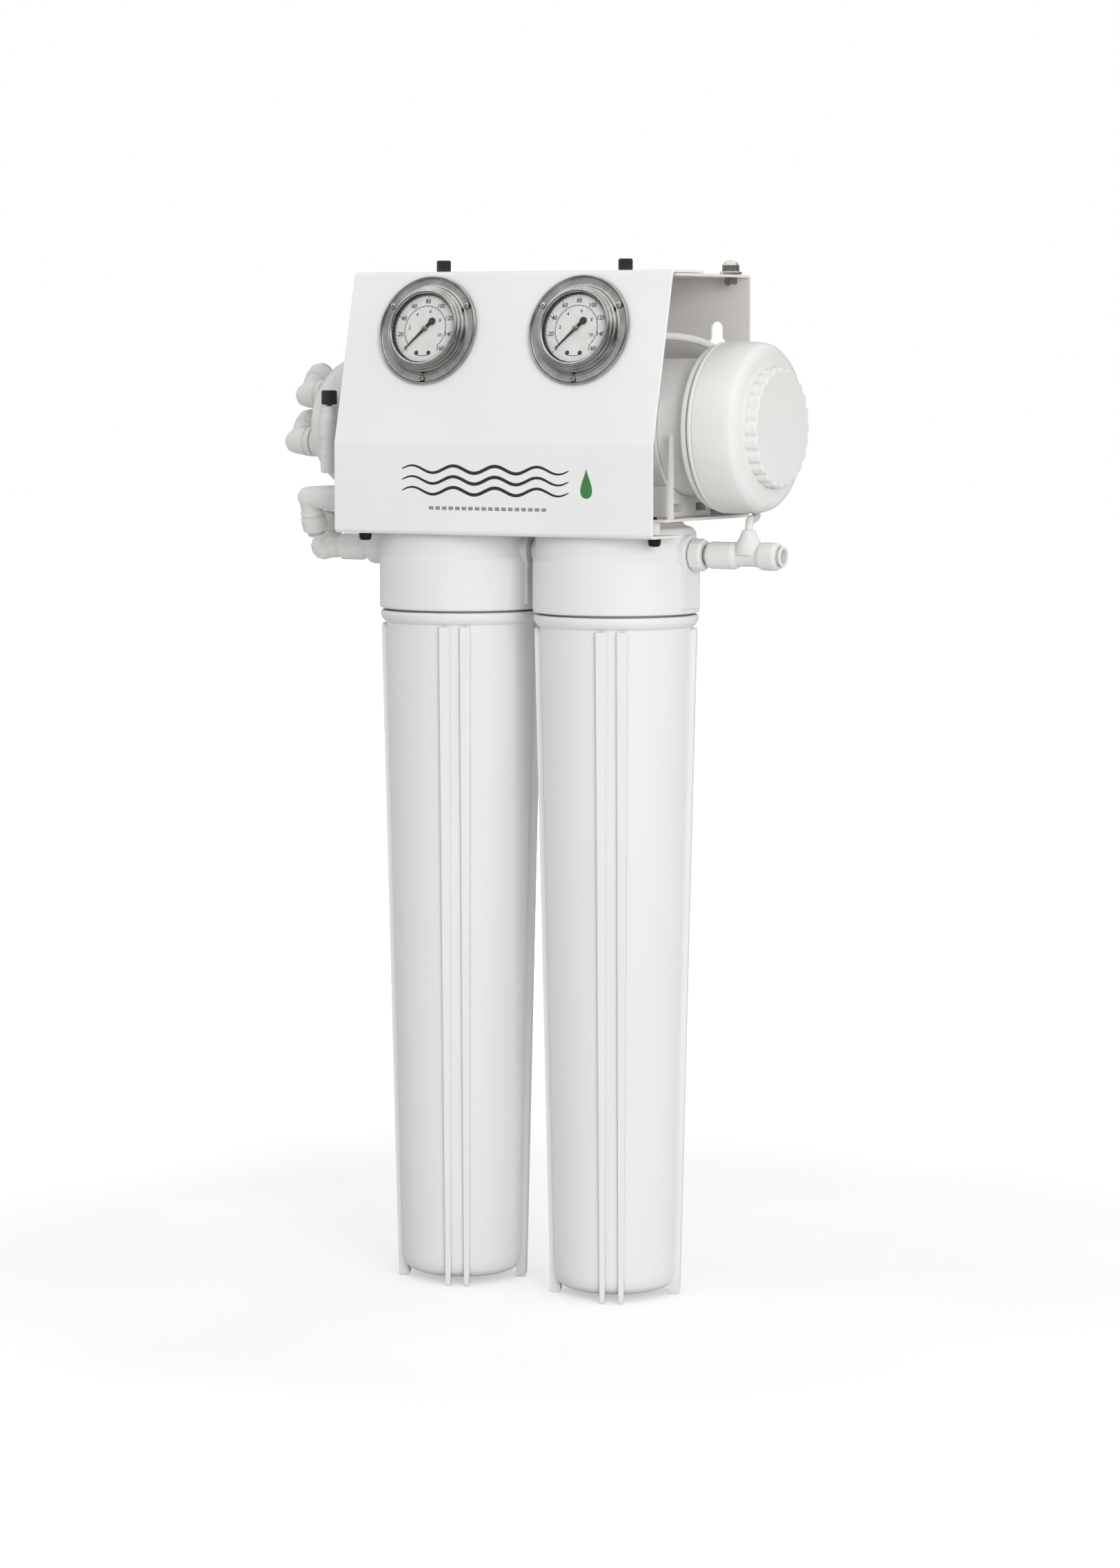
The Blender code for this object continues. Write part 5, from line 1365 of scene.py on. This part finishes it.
build_cover()
build_bracket()
build_bracket_screws()
build_head_screws()
for side in SIDES:
    build_head(side)
    build_sump(side)
    build_gauge(side)
build_vents()
build_membrane_housing()
build_membrane_cap()
build_clip("housing_clip_left")
build_clip("housing_clip_right")
build_gauge_tubes()
build_dome_elbow("product")
build_dome_elbow("waste")
build_feed_connector()
build_drain_elbow()
build_inlet_elbow()
build_outlet_tee()
build_flush_valve()
build_mark()
build_inside()


# ---------------------------------------------------------------- stage, light and camera


def build_world():
    """A white room, brightest ahead. Mirrors see a dark room with a bright ceiling and a bright left side."""
    world = bpy.data.worlds.new("studio")
    world.use_nodes = True
    room = Tree(world.node_tree)
    split = room.add("ShaderNodeSeparateXYZ", Vector=room.add("ShaderNodeTexCoord").outputs["Generated"])
    across, up = split.outputs["X"], split.outputs["Z"]
    low_half = room.span(up, 0.20, 1.04, -0.7, 0.3, "SMOOTHSTEP")
    high_half = room.span(up, 1.0, 0.62, 0.1, 0.9, "SMOOTHSTEP")
    sides = room.span(across, 0.87, 1.04, -1.0, 1.0, "SMOOTHSTEP")
    soft = room.math("MULTIPLY", room.math("MULTIPLY", low_half, high_half), sides)
    ceiling = room.span(up, 0.14, 1.4, 0.22, 0.62, "SMOOTHSTEP")
    left_wall = room.span(across, 1.2, 0.0, -0.95, -0.70, "SMOOTHSTEP")
    ray = room.add("ShaderNodeLightPath").outputs
    strength = room.mix(ray["Is Glossy Ray"], soft, room.math("MAXIMUM", ceiling, left_wall), "FLOAT")
    strength = room.mix(ray["Is Camera Ray"], strength, 1.0, "FLOAT")
    background = room.tree.nodes["Background"]
    room.plug(background.inputs["Strength"], strength)
    background.inputs["Color"].default_value = (1, 1, 1, 1)
    bpy.context.scene.world = world


def build_floor():
    """Pale paper, which glows white to the camera some way from the object."""
    mesh = bpy.data.meshes.new("floor")
    work = bmesh.new()
    bmesh.ops.create_grid(work, x_segments=1, y_segments=1, size=14)
    work.to_mesh(mesh)
    work.free()
    floor = bpy.data.objects.new("floor", mesh)
    floor.location = (0, 0, cad_box[0].z - 0.0002)
    bpy.context.scene.collection.objects.link(floor)
    paper = Nodes("paper_floor")
    cloud = paper.span(paper.noise(3, 2), 0, 1)
    paper.set("Base Color", paper.mix(cloud, (0.62, 0.62, 0.62, 1), (0.66, 0.66, 0.66, 1)))
    paper.set("Roughness", 0.9)
    paper.set("Emission Color", (1, 1, 1, 1))
    reach = paper.add("ShaderNodeVectorMath")
    reach.operation = "LENGTH"
    paper.plug(reach.inputs[0], paper.coords)
    glow = paper.span(reach.outputs["Value"], 0.43, 1.0, 0.45, 1.8)
    seen = paper.add("ShaderNodeLightPath").outputs["Is Camera Ray"]
    paper.set("Emission Strength", paper.math("MULTIPLY", glow, seen))
    floor.data.materials.append(paper.material)


def build_key_light():
    data = bpy.data.lights.new("key", "AREA")
    data.size = 1.5
    data.energy = 56
    lamp = bpy.data.objects.new("key", data)
    lamp.location = (2.9, -2.7, 0.5)
    target = Vector((0, 0, -0.25))
    lamp.rotation_euler = (target - lamp.location).to_track_quat("-Z", "Y").to_euler()
    lamp.visible_glossy = False
    bpy.context.scene.collection.objects.link(lamp)


def build_camera():
    data = bpy.data.cameras.new("camera")
    data.lens = 103.31
    data.clip_end = 40
    camera = bpy.data.objects.new("camera", data)
    yaw, pitch = math.radians(29.24), math.radians(5.47)
    camera.location = (1.712, -3.110, 0.038)
    ahead = Vector((-math.sin(yaw) * math.cos(pitch), math.cos(yaw) * math.cos(pitch), -math.sin(pitch)))
    camera.rotation_euler = ahead.to_track_quat("-Z", "Y").to_euler()
    bpy.context.scene.collection.objects.link(camera)
    bpy.context.scene.camera = camera


build_floor()
build_world()
bpy.context.scene.view_settings.view_transform = "Standard"
build_key_light()
build_camera()
